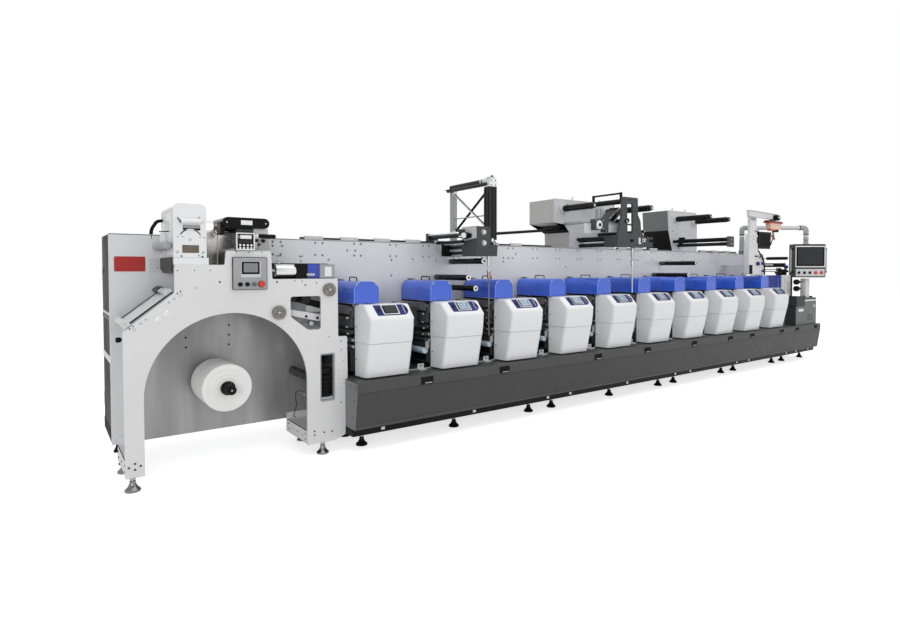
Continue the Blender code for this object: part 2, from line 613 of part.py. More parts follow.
def turn_bar_tower():
    seat = WALL_TOP + RAIL_H + 0.002
    column_y = WALL_Y + WALL_T + SEAT
    foot_z = CAB_TOP + SEAT
    top = 2.355
    x0, x1 = 1.381, 1.425
    bar_x = (x0 + x1) / 2
    front_y = 0.15
    parts = [box(x0, x1, column_y + 0.01, column_y + 0.08, foot_z, top),
             box(x0 - 0.03, x1 + 0.03, column_y, column_y + 0.12, foot_z, foot_z + 0.02),
             rod((bar_x - 0.015, column_y + 0.07, top + 0.005), (bar_x - 0.015, front_y, top + 0.005), 0.026, sides=10),
             rod((bar_x - 0.045, column_y + 0.09, top - 0.03), (bar_x - 0.045, front_y + 0.03, top - 0.03), 0.020, sides=10),
             box(bar_x - 0.060, bar_x, column_y + 0.020, column_y + 0.070, top - 0.045, top - 0.015),
             box(bar_x - 0.055, bar_x + 0.030, front_y - 0.02, front_y + 0.07, top - 0.06, top + 0.04),
             box(bar_x - 0.039, bar_x + 0.044, front_y, front_y + 0.10, 1.785, top - 0.02),
             rod((bar_x - 0.008, column_y + 0.03, top - 0.055), (bar_x - 0.004, front_y + 0.05, 1.875), 0.011, sides=6),
             rod((bar_x + 0.009, column_y + 0.033, 1.885), (bar_x + 0.011, front_y + 0.052, top - 0.05), 0.011, sides=6),
             rod((bar_x + 0.001, column_y + 0.03, 2.03), (bar_x + 0.001, front_y + 0.05, 2.03), 0.007, sides=6)]
    # Head block at the operator's side
    hx0, hx1 = 1.18, 1.345
    parts.append(prism([(0.12, 1.70), (0.15, 1.627), (0.36, 1.627), (0.36, 1.91), (0.12, 1.91)], 'x', hx0, hx1))
    parts.append(prism([(0.14, 1.735), (0.15, 1.627), (0.30, 1.627), (0.30, 1.735)], 'x', hx1 - 0.005, hx1 + 0.11))
    parts.append(rod((hx1 - 0.03, 0.19, 1.77), (hx1 + 0.085, 0.19, 1.77), 0.03, sides=10))
    for z in (1.855, 1.750):
        parts.append(rod((hx0 + 0.082, 0.10, z), (hx0 + 0.082, 0.125, z), 0.024, sides=8))
    # Turn bars beside the head, carried by a bracket and the column's foot plate
    bracket_x = hx0 - 0.16
    parts.append(box(bracket_x, hx0 + 0.01, 0.30, 0.325, 1.80, 1.885))
    for x, z, tip, r in ((bracket_x + 0.03, seat + 0.068, 0.24, 0.030), (bracket_x + 0.095, seat + 0.028, 0.20, 0.030)):
        parts.append(rod((x, tip, z), (x, column_y + 0.013, z), r, sides=10))
    for x, z, r in ((1.225, 1.73, 0.022), (1.255, 1.675, 0.022)):
        parts.append(rod((x, 0.35, z), (x, WALL_Y - SEAT, z), r, sides=8))
    parts.append(box(bracket_x - 0.01, x0 + 0.02, column_y, column_y + 0.03, foot_z, 1.90))
    # Rod that hangs from the head
    rod_x, rod_y = hx1 + 0.010, ROLLER_TIP - 0.022
    parts.append(rod((rod_x, rod_y, 1.64), (rod_x, rod_y, 1.36), 0.012, sides=8))
    parts.append(rod((rod_x, rod_y, 1.365), (rod_x, rod_y, 0.84), 0.007, sides=6))
    solid("turn_bar_tower", "dark", parts)


# Overhead winders

def winder_1():
    y0 = WALL_Y - 0.003
    outline = [(2.831, 2.351), (2.831, 2.061), (3.003, 2.046), (3.094, 1.952), (3.100, WALL_TOP + SEAT),
               (3.93, WALL_TOP + SEAT), (3.93, 2.351)]
    inner = [(x + 0.006 if x < 3.5 else x - 0.006, z - 0.006 if z > 2.3 else z) for x, z in outline]
    parts = [prism(outline, 'y', y0, y0 + WINDER_PLATE_T), prism(inner, 'y', y0 + 0.01, WINDER_BACK)]
    for x in (3.20, 3.70):
        parts.append(box(x - 0.008, x + 0.008, 0.80, 0.83, 2.34, 2.395))
    for x in (2.973, 3.75):
        parts.append(rod((x, y0 - 0.022, 2.235), (x, y0 + 0.005, 2.235), 0.075, sides=16))
    solid("winder_housing_1", "grey", parts)


def winder_2():
    y0 = WALL_Y - 0.003
    foot_z = WALL_TOP + SEAT
    right = 5.843
    outline = ([(5.116, 2.350), (5.138, 2.057), (5.236, foot_z + 0.01), (5.236, foot_z), (right, foot_z)] +
               [(right, 2.31), (5.821, 2.350)])
    inner = [(x + 0.006 if x < 5.5 else x - 0.006, z - 0.006 if z > 2.2 else z) for x, z in outline]
    parts = [prism(outline, 'y', y0, y0 + WINDER_PLATE_T), prism(inner, 'y', y0 + 0.01, WINDER_BACK)]
    for x in (5.38, 5.66):
        parts.append(box(x - 0.008, x + 0.008, 0.80, 0.83, 2.34, 2.395))
    for x, z in ((5.29, 2.226), (5.785, 2.215), (5.33, 1.905)):
        parts.append(rod((x, y0 - 0.022, z), (x, y0 + 0.005, z), 0.055, sides=16))
    solid("winder_housing_2", "grey", parts)


def winding_shaft(name, x, z, tip, r=WIND_SHAFT_R):
    root = WALL_Y - 0.003 - 0.022 - SEAT
    parts = [rod((x, tip + 0.06, z), (x, root, z), r, sides=16),
             rod((x, tip, z), (x, tip + 0.065, z), r * 0.85, sides=12)]
    solid(name, "black", parts, at=(x, (tip + root) / 2, z))


def laminator():
    y0, y1 = 0.10, 0.13
    back = WALL_Y - 0.003 - SEAT
    portal = prism([(3.19, 1.755), (3.31, 2.338), (3.60, 2.345), (3.62, 2.10), (3.70, 1.98), (3.70, 1.755)],
                   'y', y0, y1)
    windows = [prism([(3.385, 2.03), (3.395, 2.28), (3.50, 2.285), (3.51, 2.02)], 'y', y0 - 0.02, y1 + 0.02)]
    parts = [portal, box(3.195, 3.37, y1 - 0.005, 0.31, 1.762, 1.88), box(3.36, 3.88, y0 + 0.004, 0.212, 1.770, 1.895)]
    for i in range(4):
        x = 3.44 + i * 0.125
        parts.append(rod((x, y0 - 0.03, 1.83), (x, y0 + 0.01, 1.83), 0.022, sides=8))
    for x, z, r in ((3.228, 1.850, 0.022), (3.27, 1.803, 0.030), (3.355, 2.300, 0.033), (3.62, 1.94, 0.025)):
        parts.append(rod((x, y0 + 0.01 if z > 1.9 else 0.30, z), (x, back, z), r, sides=10))
    bar_x = 3.39
    parts += [rod((bar_x, 0.207, 2.40), (bar_x, back - 0.10, 2.40), 0.012, sides=8),
              box(bar_x - 0.012, bar_x + 0.012, y1 - 0.006, 0.224, 2.322, 2.340),
              box(bar_x - 0.012, bar_x + 0.012, 0.200, 0.226, 2.325, 2.41),
              box(bar_x - 0.012, bar_x + 0.012, back - 0.125, back - 0.10, 2.31, 2.41)]
    parts.append(box(2.98, 3.30, 0.22, 0.245, 1.93, 2.05))
    parts.append(box(2.94, 3.05, 0.20, 0.30, 1.905, 2.075))
    parts.append(box(3.18, 3.25, 0.13, 0.25, 1.90, 2.04))
    parts.append(rod((2.99, 0.25, 2.05), (2.99, back, 2.05), 0.018, sides=8))
    parts.append(rod((3.60, 0.17, 1.78), (3.60, 0.17, 1.62), 0.013, sides=8))
    parts.append(rod((3.60, 0.17, 1.625), (3.60, 0.17, 1.22), 0.007, sides=6))
    solid("laminator_frame", "dark", parts, windows)


# Right end

def end_frame():
    """Delivery frame on the end module: two plates, their rollers and two knobs."""
    x0 = PITCH * (sum(BED_UNITS) - 1) + IDLER_X + IDLER_R + 0.02
    x1 = x0 + END_FRAME_W
    y0 = COWL_BACK + 0.01
    foot_z = BED_TOP + SEAT
    back = WALL_Y - SEAT
    outline = [(x0, foot_z), (x1, foot_z), (x1, 1.36), (x1 - 0.18, 1.52), (x0, 1.52)]
    parts = [prism(outline, 'y', y0, y0 + 0.03), prism(outline, 'y', back - 0.03, back),
             box(x0 + 0.02, x1 - 0.02, y0 + 0.02, back - 0.02, foot_z + 0.10, foot_z + 0.14)]
    for x, z, r in ((x0 + 0.10, 1.42, 0.035), (x0 + 0.22, 1.27, 0.05), (x0 + 0.12, 1.05, 0.05)):
        parts.append(rod((x, y0 + 0.01, z), (x, back - 0.01, z), r, sides=12))
    for z in (1.35, 1.265):
        parts.append(rod((x1 - 0.05, y0 - 0.06, z), (x1 - 0.05, y0 + 0.005, z), 0.022, sides=10))
    solid("end_frame", "wall", parts)


def end_guard():
    """Fixed blue panel that stands on the last unit's side frame."""
    x = PITCH * (sum(BED_UNITS) - 1)
    y0 = COWL_BACK + SEAT + 0.002
    solid("end_guard", "guard", [box(x + GUARD_X + GUARD_W + 0.02, x + FRAME_W + DRYER[0] + 0.01, y0, y0 + 0.006,
                                     FRAME_TOP + SEAT, GUARD_TOP + 0.005)])


def end_cabinet():
    foot_z = BED_TOP + SEAT
    x0 = PITCH * (sum(BED_UNITS) - 1) + IDLER_X + IDLER_R + 0.02 + END_FRAME_W + 0.030
    x1 = LINE_END - 0.02
    parts = [box(x0, x1, 0.06, 0.60, foot_z, 1.04, edge=0.01),
             box(x0 + 0.02, x0 + 0.22, 0.045, 0.30, 0.90, 1.06)]
    solid("end_cabinet", "dark", parts)


def inspection_beam():
    """Camera over the last gap: a column held from the wall, its beam, head and monitor."""
    x0, x1 = 6.47, 6.70
    front = 0.25
    back = WALL_Y - SEAT
    parts = [box(x0, x1, front, front + 0.08, 1.33, 2.045, edge=0.008),
             box(x0 + 0.03, x1 - 0.03, front + 0.07, back, 1.56, 1.72),
             box(x0 - 0.02, x1 - 0.006, back - 0.02, back, 1.50, 1.755),
             box(x0 + 0.02, x1 - 0.01, front + 0.01, front + 0.06, 2.03, 2.31),
             box(x0 + 0.002, 7.36, front + 0.006, front + 0.066, 2.295, 2.395),
             rod((7.26, front - 0.03, 2.30), (7.26, front + 0.09, 2.30), 0.045, sides=12),
             box(6.975, 7.435, front - 0.04, front + 0.07, 2.225, 2.262),
             box(7.02, 7.36, front - 0.03, front + 0.06, 2.115, 2.235),
             box(6.70, 7.115, front - 0.02, front + 0.03, 1.815, 2.08),
             box(x1 - 0.02, 6.72, front - 0.004, front + 0.03, 1.90, 1.99)]
    solid("inspection_beam", "white", parts)


def panel_arm():
    """Post on the wall's end, the swinging pipe and the panel that swivels under it."""
    post_top = 2.05
    parts = [box(WALL_X1 + SEAT, ARM_X + 0.06, WALL_Y, WALL_Y + 0.10, WALL_FOOT, WALL_TOP - 0.02),
             rod((ARM_X, ARM_Y, WALL_TOP - 0.03), (ARM_X, ARM_Y, post_top), ARM_R * 1.1, sides=12),
             rod((ARM_X, ARM_Y, WALL_TOP - 0.03), (ARM_X, ARM_Y, WALL_TOP + 0.05), ARM_R * 1.5, sides=12)]
    solid("arm_post", "grey", parts)
    reach = Vector((cos(ARM_YAW), sin(ARM_YAW), 0)) * ARM_REACH
    root = Vector((ARM_X, ARM_Y, 0))
    tip = root + reach
    drop = PANEL_TOP + 0.06
    arm = pipe([(root.x, root.y, post_top + SEAT), (root.x, root.y, ARM_Z), (tip.x, tip.y, ARM_Z),
                (tip.x, tip.y, drop)], ARM_R, sides=12, bend=0.09)
    solid("panel_arm", "grey", [arm], at=(root.x, root.y, post_top))
    turn = Matrix.Rotation(ARM_YAW, 4, 'Z')
    place = Matrix.Translation(tip) @ turn
    case = box(-PANEL_W / 2, PANEL_W / 2, -PANEL_D, 0.03, PANEL_TOP - PANEL_H, PANEL_TOP, edge=0.012)
    neck = rod((0, 0, PANEL_TOP - 0.01), (0, 0, drop - SEAT), ARM_R, sides=12)
    pieces = [case, neck]
    for side in (-1, 1):
        x = side * (PANEL_W / 2 + 0.035)
        edge = side * (PANEL_W / 2 - 0.005)
        pieces.append(pipe([(edge, -0.09, PANEL_TOP - 0.08), (x, -0.09, PANEL_TOP - 0.08),
                            (x, -0.09, PANEL_TOP - 0.46), (edge, -0.09, PANEL_TOP - 0.46)], 0.009, sides=6))
    for i in range(5):
        x = -0.18 + i * 0.09
        pieces.append(rod((x, -PANEL_D - 0.012, PANEL_TOP - 0.475), (x, -PANEL_D + 0.01, PANEL_TOP - 0.475),
                          0.016 if i < 3 else 0.022, sides=8))
    for mesh in pieces:
        mesh.transform(place)
    solid("control_panel", "grey", pieces, at=(tip.x, tip.y, PANEL_TOP))


def build_press():
    x = -BED_LEAD
    first = 0
    for number, count in enumerate(BED_UNITS, start=1):
        end = x + PITCH * count
        units = [PITCH * (first + i) for i in range(count)]
        margin = 0.165
        feet = [x + margin, (x + end) / 2, end - margin] if count > 2 else [x + margin, end - margin]
        bed(number, x, end, units, feet)
        x, first = end, first + count
    bed(len(BED_UNITS) + 1, x, LINE_END, [], [x + 0.165, LINE_END - 0.12])
    for i in range(sum(BED_UNITS)):
        cowl(i + 1, PITCH * i)
        guard(i + 1, PITCH * i)
    back_wall()
    rear_cabinets()
    unwinder()
    paper_roll()
    treater_tower()
    web_guide()
    operator_box()
    infeed_nip()
    turn_bar_tower()
    winder_1()
    winder_2()
    winding_shaft("winding_shaft_1", 2.973, 2.235, 0.25)
    winding_shaft("winding_shaft_2", 3.75, 2.235, 0.04)
    winding_shaft("winding_shaft_3", 5.29, 2.226, 0.19)
    winding_shaft("winding_shaft_4", 5.785, 2.215, 0.20)
    winding_shaft("rewind_roller", 5.33, 1.905, -0.06, r=0.028)
    laminator()
    wall_roller("idler_1", 1.13, 1.42)
    wall_roller("idler_2", 1.312, 1.58)
    wall_roller("idler_3", 4.751, 1.422)
    wall_roller("idler_4", 4.927, 1.583)
    wall_roller("idler_5", 1.215, 1.317)
    end_frame()
    end_guard()
    end_cabinet()
    inspection_beam()
    panel_arm()


build_press()
centre_on_plan()
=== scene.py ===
# %% [markdown]
# # A label printing press, piece by piece
# The real machine is a row of ten print units on one long base. A web of label
# stock leaves the roll at the left end, runs from unit to unit under blue
# guards, and is wound up again on shafts above the line. The solids of the
# machine are already there as a frame. This lesson hides them one after the
# other and puts detailed pieces in their places.
# Shapes are measured in millimetres along the press: X starts at the first print
# unit, Y at the front of the base, Z at the floor. `line` is where that point lies.

# %% Load the frame and find the press line
from math import cos, pi, radians, sin

import bmesh
import bpy
from mathutils import Matrix, Vector


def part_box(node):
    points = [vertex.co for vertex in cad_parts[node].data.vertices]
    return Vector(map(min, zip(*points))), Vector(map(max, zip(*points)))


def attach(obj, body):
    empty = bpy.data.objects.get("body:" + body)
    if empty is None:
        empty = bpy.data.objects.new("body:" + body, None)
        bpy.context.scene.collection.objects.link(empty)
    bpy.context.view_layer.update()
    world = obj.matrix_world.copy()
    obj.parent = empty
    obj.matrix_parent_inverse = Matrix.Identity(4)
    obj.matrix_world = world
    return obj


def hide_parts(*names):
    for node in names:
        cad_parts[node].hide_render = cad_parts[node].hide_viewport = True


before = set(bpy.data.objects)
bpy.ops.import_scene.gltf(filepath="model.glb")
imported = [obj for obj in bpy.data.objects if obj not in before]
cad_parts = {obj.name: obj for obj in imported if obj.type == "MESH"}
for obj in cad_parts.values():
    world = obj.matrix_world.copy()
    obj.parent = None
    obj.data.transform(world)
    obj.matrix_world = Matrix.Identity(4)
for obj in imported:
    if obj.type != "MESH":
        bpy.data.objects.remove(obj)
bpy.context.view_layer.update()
line = Vector((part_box("back_wall")[0].x + 1.70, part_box("bed_2")[0].y, 0.0))
PITCH = 750
UNITS = 10


def mm_box(node):
    """Low and high corner of a solid, in millimetres along the press line."""
    return [(corner - line) * 1000 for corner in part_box(node)]

print("press line starts at", [round(v, 4) for v in line])

# %% [markdown]
# ## The camera
# The photograph was taken from the left end, about eye height, with a wide
# lens. Its place was solved from the evenly spaced print units: ten equal steps
# in the picture fix where the eye stood. The lens is tilted down a little, and a
# small shift crops the picture as the photograph is cropped.

# %% Camera
camera = bpy.data.objects.new("camera", bpy.data.cameras.new("camera"))
bpy.context.scene.collection.objects.link(camera)
camera.location = line + Vector((-2.101, -4.212, 1.501))
camera.rotation_euler = (radians(88.44), 0, radians(-37.212))
camera.data.lens = 23.056
camera.data.sensor_width = 36
camera.data.shift_x = -0.0306
camera.data.shift_y = -0.0396
bpy.context.scene.camera = camera
print("camera at", [round(v, 2) for v in camera.location])

# %% [markdown]
# ## Finishes
# A press has few finishes: powder coat in white and greys, moulded white cowls,
# black anodised rollers, ground steel, blue acrylic and rubber. Powder coat is
# never one flat tone, so each finish gets three things from noise in the
# piece's own coordinates: slow clouds in the colour, a change in gloss, and the
# fine orange peel that makes the highlights soft. Noise is used instead of
# pictures because it has no seams and any scale.

# %% One function mixes every painted finish
def linear(r, g, b):
    """A screen colour, 0 to 255, as the light values a shader works with."""
    return tuple(((v / 255 + 0.055) / 1.055) ** 2.4 if v > 10 else v / 255 / 12.92 for v in (r, g, b))


def noise_of(tree, scale, stretch=(1, 1, 1), detail=3.0):
    """Noise in the piece's own coordinates, stretched along an axis for brushed metal."""
    nodes, links = tree.nodes, tree.links
    place = nodes.new("ShaderNodeTexCoord")
    spread = nodes.new("ShaderNodeMapping")
    spread.inputs["Scale"].default_value = stretch
    noise = nodes.new("ShaderNodeTexNoise")
    noise.inputs["Scale"].default_value = scale
    noise.inputs["Detail"].default_value = detail
    links.new(place.outputs["Object"], spread.inputs["Vector"])
    links.new(spread.outputs["Vector"], noise.inputs["Vector"])
    return noise.outputs["Fac"]


def between(tree, source, low, high, start=0.3, end=0.7):
    """Maps a noise value to a range of numbers."""
    scale = tree.nodes.new("ShaderNodeMapRange")
    for name, value in (("From Min", start), ("From Max", end), ("To Min", low), ("To Max", high)):
        scale.inputs[name].default_value = value
    tree.links.new(source, scale.inputs["Value"])
    return scale.outputs["Result"]


def tones(tree, source, first, second):
    """Mixes two colours by a value."""
    mix = tree.nodes.new("ShaderNodeMix")
    mix.data_type = 'RGBA'
    mix.inputs["A"].default_value = (*first, 1)
    mix.inputs["B"].default_value = (*second, 1)
    tree.links.new(source, mix.inputs["Factor"])
    return mix.outputs["Result"]


FINISHES = {}


def blank(name):
    """A new finish: its node tree and its shader."""
    mat = bpy.data.materials.new(name)
    mat.use_nodes = True
    FINISHES[name] = mat
    return mat.node_tree, mat.node_tree.nodes["Principled BSDF"]


def set_all(shader, **values):
    """Sets plain values on the shader's sockets, named with _ for a space."""
    for socket, value in values.items():
        shader.inputs[socket.replace("_", " ")].default_value = value


def finish(name, colour, rough, metal, cloud, cloud_scale, grain, relief, stretch=(1, 1, 1), coat=0,
           shine=0.4, swing=0.07):
    """A painted, moulded or brushed finish: clouded colour, uneven gloss and a fine relief."""
    tree, shader = blank(name)
    base = linear(*colour)
    clouds = between(tree, noise_of(tree, cloud_scale), 0.0, 1.0)
    low, high = [v * (1 - cloud) for v in base], [min(1.0, v * (1 + cloud)) for v in base]
    tree.links.new(tones(tree, clouds, low, high), shader.inputs["Base Color"])
    gloss = noise_of(tree, cloud_scale * 7, stretch)
    tree.links.new(between(tree, gloss, max(0.03, rough - swing), rough + swing), shader.inputs["Roughness"])
    bump = tree.nodes.new("ShaderNodeBump")
    bump.inputs["Strength"].default_value = relief
    bump.inputs["Distance"].default_value = 0.0004
    tree.links.new(noise_of(tree, grain, stretch, 2.0), bump.inputs["Height"])
    tree.links.new(bump.outputs["Normal"], shader.inputs["Normal"])
    set_all(shader, Metallic=metal, Coat_Weight=coat, Coat_Roughness=0.12, Specular_IOR_Level=shine)
    return tree, shader


# Name, colour, roughness, metal, cloud and its size, grain, relief, and what else differs
finish("cowl_white", (228, 229, 230), 0.34, 0, 0.012, 5, 260, 0.08, coat=0.25)
finish("plate_white", (217, 217, 218), 0.42, 0, 0.02, 2.5, 500, 0.15)
finish("wall_grey", (212, 213, 215), 0.34, 0.1, 0.04, 1.3, 600, 0.1)
finish("skirt_grey", (79, 80, 79), 0.42, 0, 0.05, 3, 380, 0.2, shine=0.12)
# Painted shade: the leaning skirt is the brow's paint made darker, as it faces down
finish("skirt_shaded", (72, 73, 72), 0.42, 0, 0.05, 2, 380, 0.2, shine=0.12)
finish("skirt_cap", (124, 125, 126), 0.42, 0, 0.05, 5, 380, 0.2, shine=0.2)
finish("deep_grey", (58, 59, 60), 0.45, 0, 0.08, 5, 380, 0.2, shine=0.12)
finish("frame_grey", (74, 75, 76), 0.5, 0, 0.08, 5, 300, 0.25, shine=0.12)
finish("box_grey", (158, 159, 160), 0.45, 0, 0.04, 5, 380, 0.2)
finish("pale_grey", (200, 201, 203), 0.42, 0, 0.03, 5, 380, 0.2)
finish("black_paint", (18, 18, 19), 0.4, 0, 0.15, 5, 380, 0.2, shine=0.1)
finish("black_anodised", (16, 16, 17), 0.24, 0, 0.2, 5, 500, 0.1, shine=0.22)
finish("black_rubber", (22, 22, 23), 0.75, 0, 0.2, 5, 700, 0.4, shine=0.1)
finish("ground_steel", (196, 198, 200), 0.26, 0.95, 0.05, 5, 300, 0.25, stretch=(1, 1, 14))
finish("cast_silver", (205, 206, 208), 0.38, 0.6, 0.05, 5, 200, 0.3)
finish("chrome", (226, 227, 229), 0.1, 1, 0.03, 5, 60, 0.03, swing=0.04)
finish("zinc", (168, 170, 172), 0.34, 0.9, 0.08, 5, 300, 0.2)
# Painted reflection: strong colour clouds on the brushed stainless end stand in for what it mirrors; it has
# no specular shine of its own
finish("cabinet_side", (118, 118, 117), 0.8, 0, 0.28, 2.2, 220, 0.2, stretch=(1, 6, 1), shine=0)
finish("stainless", (128, 128, 128), 0.3, 0.2, 0.3, 1.6, 220, 0.2, stretch=(12, 12, 1), shine=0.2)
finish("navy_band", (30, 40, 104), 0.3, 0, 0.1, 5, 300, 0.05, shine=0.12)
finish("screen_dark", (44, 47, 52), 0.14, 0, 0.1, 5, 100, 0.02, shine=0.15)
finish("screen_pale", (176, 196, 214), 0.15, 0, 0.12, 14, 100, 0.02)
finish("screen_tile", (112, 134, 158), 0.18, 0, 0.05, 5, 100, 0.02)
finish("red_button", (200, 30, 30), 0.3, 0, 0.06, 5, 300, 0.1, coat=0.5)
finish("red_paint", (164, 34, 30), 0.4, 0, 0.06, 5, 300, 0.1)
finish("blue_part", (40, 66, 178), 0.3, 0, 0.08, 5, 300, 0.1, coat=0.4)
finish("orange_part", (214, 86, 42), 0.4, 0, 0.08, 5, 300, 0.1)
print(len(FINISHES), "finishes mixed")

# %% [markdown]
# ## A bench for building
# Nearly every part of a press is a plate, a turned shaft or a bent tube. All
# three are the same thing to a modeller: a stack of rings with a skin between
# them. So one small class, the bench, skins rings into a mesh, remembers which
# finish each face has, and at the end makes the object. Machined edges are never
# razor sharp, so most pieces get a fine bevel that catches the light.

# %% Bench
def run_round(corners, bend, steps=6):
    """A path with its inner corners rounded."""
    path = [Vector(p) for p in corners]
    rounded = [path[0]]
    for before, corner, after in zip(path, path[1:], path[2:]):
        way_in, way_out = before - corner, after - corner
        reach = min(bend, way_in.length * 0.49, way_out.length * 0.49)
        a, b = corner + way_in.normalized() * reach, corner + way_out.normalized() * reach
        for i in range(steps + 1):
            t = i / steps
            rounded.append(a.lerp(corner, t).lerp(corner.lerp(b, t), t))
    return rounded + [path[-1]]


def arc(cx, cz, r, a0, a1, steps=8):
    """Points on an arc, angles in degrees."""
    turns = [radians(a0 + (a1 - a0) * i / steps) for i in range(steps + 1)]
    return [(cx + r * cos(a), cz + r * sin(a)) for a in turns]


def rect(a0, a1, b0, b1):
    """Outline of a rectangle."""
    return [(a0, b0), (a1, b0), (a1, b1), (a0, b1)]


def rounded_box(a0, a1, b0, b1, r, steps=3):
    """Outline of a rectangle with round corners."""
    return (arc(a1 - r, b0 + r, r, -90, 0, steps) + arc(a1 - r, b1 - r, r, 0, 90, steps)
            + arc(a0 + r, b1 - r, r, 90, 180, steps) + arc(a0 + r, b0 + r, r, 180, 270, steps))


def across(axis):
    """Where an outline's point goes when the plate lies across an axis."""
    return {'x': lambda p, t: (t, p[0], p[1]), 'y': lambda p, t: (p[0], t, p[1]),
            'z': lambda p, t: (p[0], p[1], t)}[axis]


AXES = {'x': (1, 0, 0), 'y': (0, 1, 0), 'z': (0, 0, 1), '-x': (-1, 0, 0), '-y': (0, -1, 0), '-z': (0, 0, -1)}


class Bench:
    """A mesh under way, given in millimetres. Each shape on it has one of the finishes."""

    def __init__(self):
        self.clear()

    def clear(self):
        self.bm = bmesh.new()
        self.finishes = []

    def dress(self, faces, name):
        if name not in self.finishes:
            self.finishes.append(name)
        for face in faces:
            face.material_index = self.finishes.index(name)

    def skin(self, rings, name, ends=True):
        rows = [[self.bm.verts.new([c / 1000 for c in p]) for p in ring] for ring in rings]
        made = []
        for low, high in zip(rows, rows[1:]):
            for k in range(len(low)):
                j = (k + 1) % len(low)
                made.append(self.bm.faces.new((low[k], low[j], high[j], high[k])))
        if ends:
            made += [self.bm.faces.new(rows[0][::-1]), self.bm.faces.new(rows[-1])]
        self.dress(made, name)

    def block(self, name, *boxes):
        """Blocks from x0 to x1, y0 to y1 and z0 to z1."""
        for x0, x1, y0, y1, z0, z1 in boxes:
            self.skin([[(x0, y0, z), (x1, y0, z), (x1, y1, z), (x0, y1, z)] for z in (z0, z1)], name)

    def plate(self, outline, t, name, axis='y'):
        put = across(axis)
        self.skin([[put(p, depth) for p in outline] for depth in t], name)

    def turned(self, start, end, profile, name, sides=24):
        """A lathe shape toward a point or an axis: profile gives (distance from start, radius)."""
        start = Vector(start)
        along = Vector(AXES[end]) if isinstance(end, str) else (Vector(end) - start).normalized()
        side = along.orthogonal().normalized()
        other = along.cross(side)
        self.skin([[start + along * d + (side * cos(2 * pi * k / sides) + other * sin(2 * pi * k / sides)) * r
                    for k in range(sides)] for d, r in profile], name)

    def rod(self, start, end, r, name, sides=24):
        self.turned(start, end, [(0, r), ((Vector(end) - Vector(start)).length, r)], name, sides)

    def bar(self, name, sides, *bars):
        """Rods from front to back at x and z, from y0 to y1."""
        for x, y0, y1, z, r in bars:
            self.rod((x, y0, z), (x, y1, z), r, name, sides)

    def tube(self, corners, r, name, bend=30, sides=12):
        path = run_round(corners, bend) if len(corners) > 2 else [Vector(p) for p in corners]
        rings, side = [], None
        for i, point in enumerate(path):
            along = (path[min(i + 1, len(path) - 1)] - path[max(i - 1, 0)]).normalized()
            side = along.orthogonal() if side is None else side - along * side.dot(along)
            side.normalize()
            other = along.cross(side)
            rings.append([point + (side * cos(2 * pi * k / sides) + other * sin(2 * pi * k / sides)) * r
                          for k in range(sides)])
        self.skin(rings, name)

    def pierced(self, outline, holes, t, name, axis='y'):
        """A plate with holes through it. Each hole is an outline of its own."""
        put = across(axis)
        edges = []
        for loop in [outline] + holes:
            ring = [self.bm.verts.new([c / 1000 for c in put(p, t[0])]) for p in loop]
            edges += [self.bm.edges.new((ring[k - 1], ring[k])) for k in range(len(ring))]
        filled = bmesh.ops.triangle_fill(self.bm, use_beauty=True, edges=edges)
        faces = [g for g in filled["geom"] if isinstance(g, bmesh.types.BMFace)]
        moved = bmesh.ops.extrude_face_region(self.bm, geom=faces)["geom"]
        step = (Vector(put((0, 0), t[1])) - Vector(put((0, 0), t[0]))) / 1000
        verts = [g for g in moved if isinstance(g, bmesh.types.BMVert)]
        bmesh.ops.translate(self.bm, vec=step, verts=verts)
        self.dress({f for v in verts for f in v.link_faces} | set(f for f in faces if f.is_valid), name)

    def screw(self, x, y, z, r=6, name="zinc", out=-1, axis='y'):
        """A button-head screw on a face, its head standing out along the axis."""
        along = Vector(AXES[axis]) * out
        at = Vector((x, y, z))
        self.turned(at - along * 2, at + along, [(0, r), (2 + r * 0.35, r), (2 + r * 0.6, r * 0.7)],
                    name, 10)

    def screws(self, y, r, name, *places):
        for x, z in places:
            self.screw(x, y, z, r, name)

bench = Bench()
block, bar, rod, screw, screws = bench.block, bench.bar, bench.rod, bench.screw, bench.screws
plate, pierced, turned, tube, skin = bench.plate, bench.pierced, bench.turned, bench.tube, bench.skin


def hole(x, z, r, sides=20):
    """Outline of a round hole."""
    return [(x + r * cos(2 * pi * k / sides), z + r * sin(2 * pi * k / sides)) for k in range(sides)]


SHARP = radians(38)


def mesh_of(name, bevel=0):
    """The bench's shapes as one mesh with smooth shading and sharp corners kept."""
    bmesh.ops.recalc_face_normals(bench.bm, faces=bench.bm.faces)
    mesh = bpy.data.meshes.new(name)
    bench.bm.to_mesh(mesh)
    for finish_name in bench.finishes:
        mesh.materials.append(FINISHES[finish_name])
    bench.clear()
    mesh.shade_smooth()
    if not bevel:
        mesh.set_sharp_from_angle(angle=SHARP)
    return mesh


def set_up(mesh, name, body="press", node=None, bevel=0, shift=(0, 0, 0)):
    """Puts a mesh on the press line as a piece that moves with a body."""
    piece = bpy.data.objects.new(name, mesh)
    bpy.context.scene.collection.objects.link(piece)
    piece.location = line + Vector(shift) / 1000
    if bevel:
        edge = piece.modifiers.new("edges", 'BEVEL')
        edge.width, edge.segments, edge.limit_method = bevel, 2, 'ANGLE'
        edge.angle_limit = SHARP
        edge.use_clamp_overlap = False
        edge.harden_normals = True
    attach(piece, body)
    if node:
        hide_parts(node)


def make(name, node=None, bevel=0.001, body="press"):
    """Mesh and piece in one go, for what is there only once. The bevel is in metres."""
    mesh = mesh_of(name, bevel)
    set_up(mesh, name, body, node, bevel)
    print(name, len(mesh.polygons), "faces")

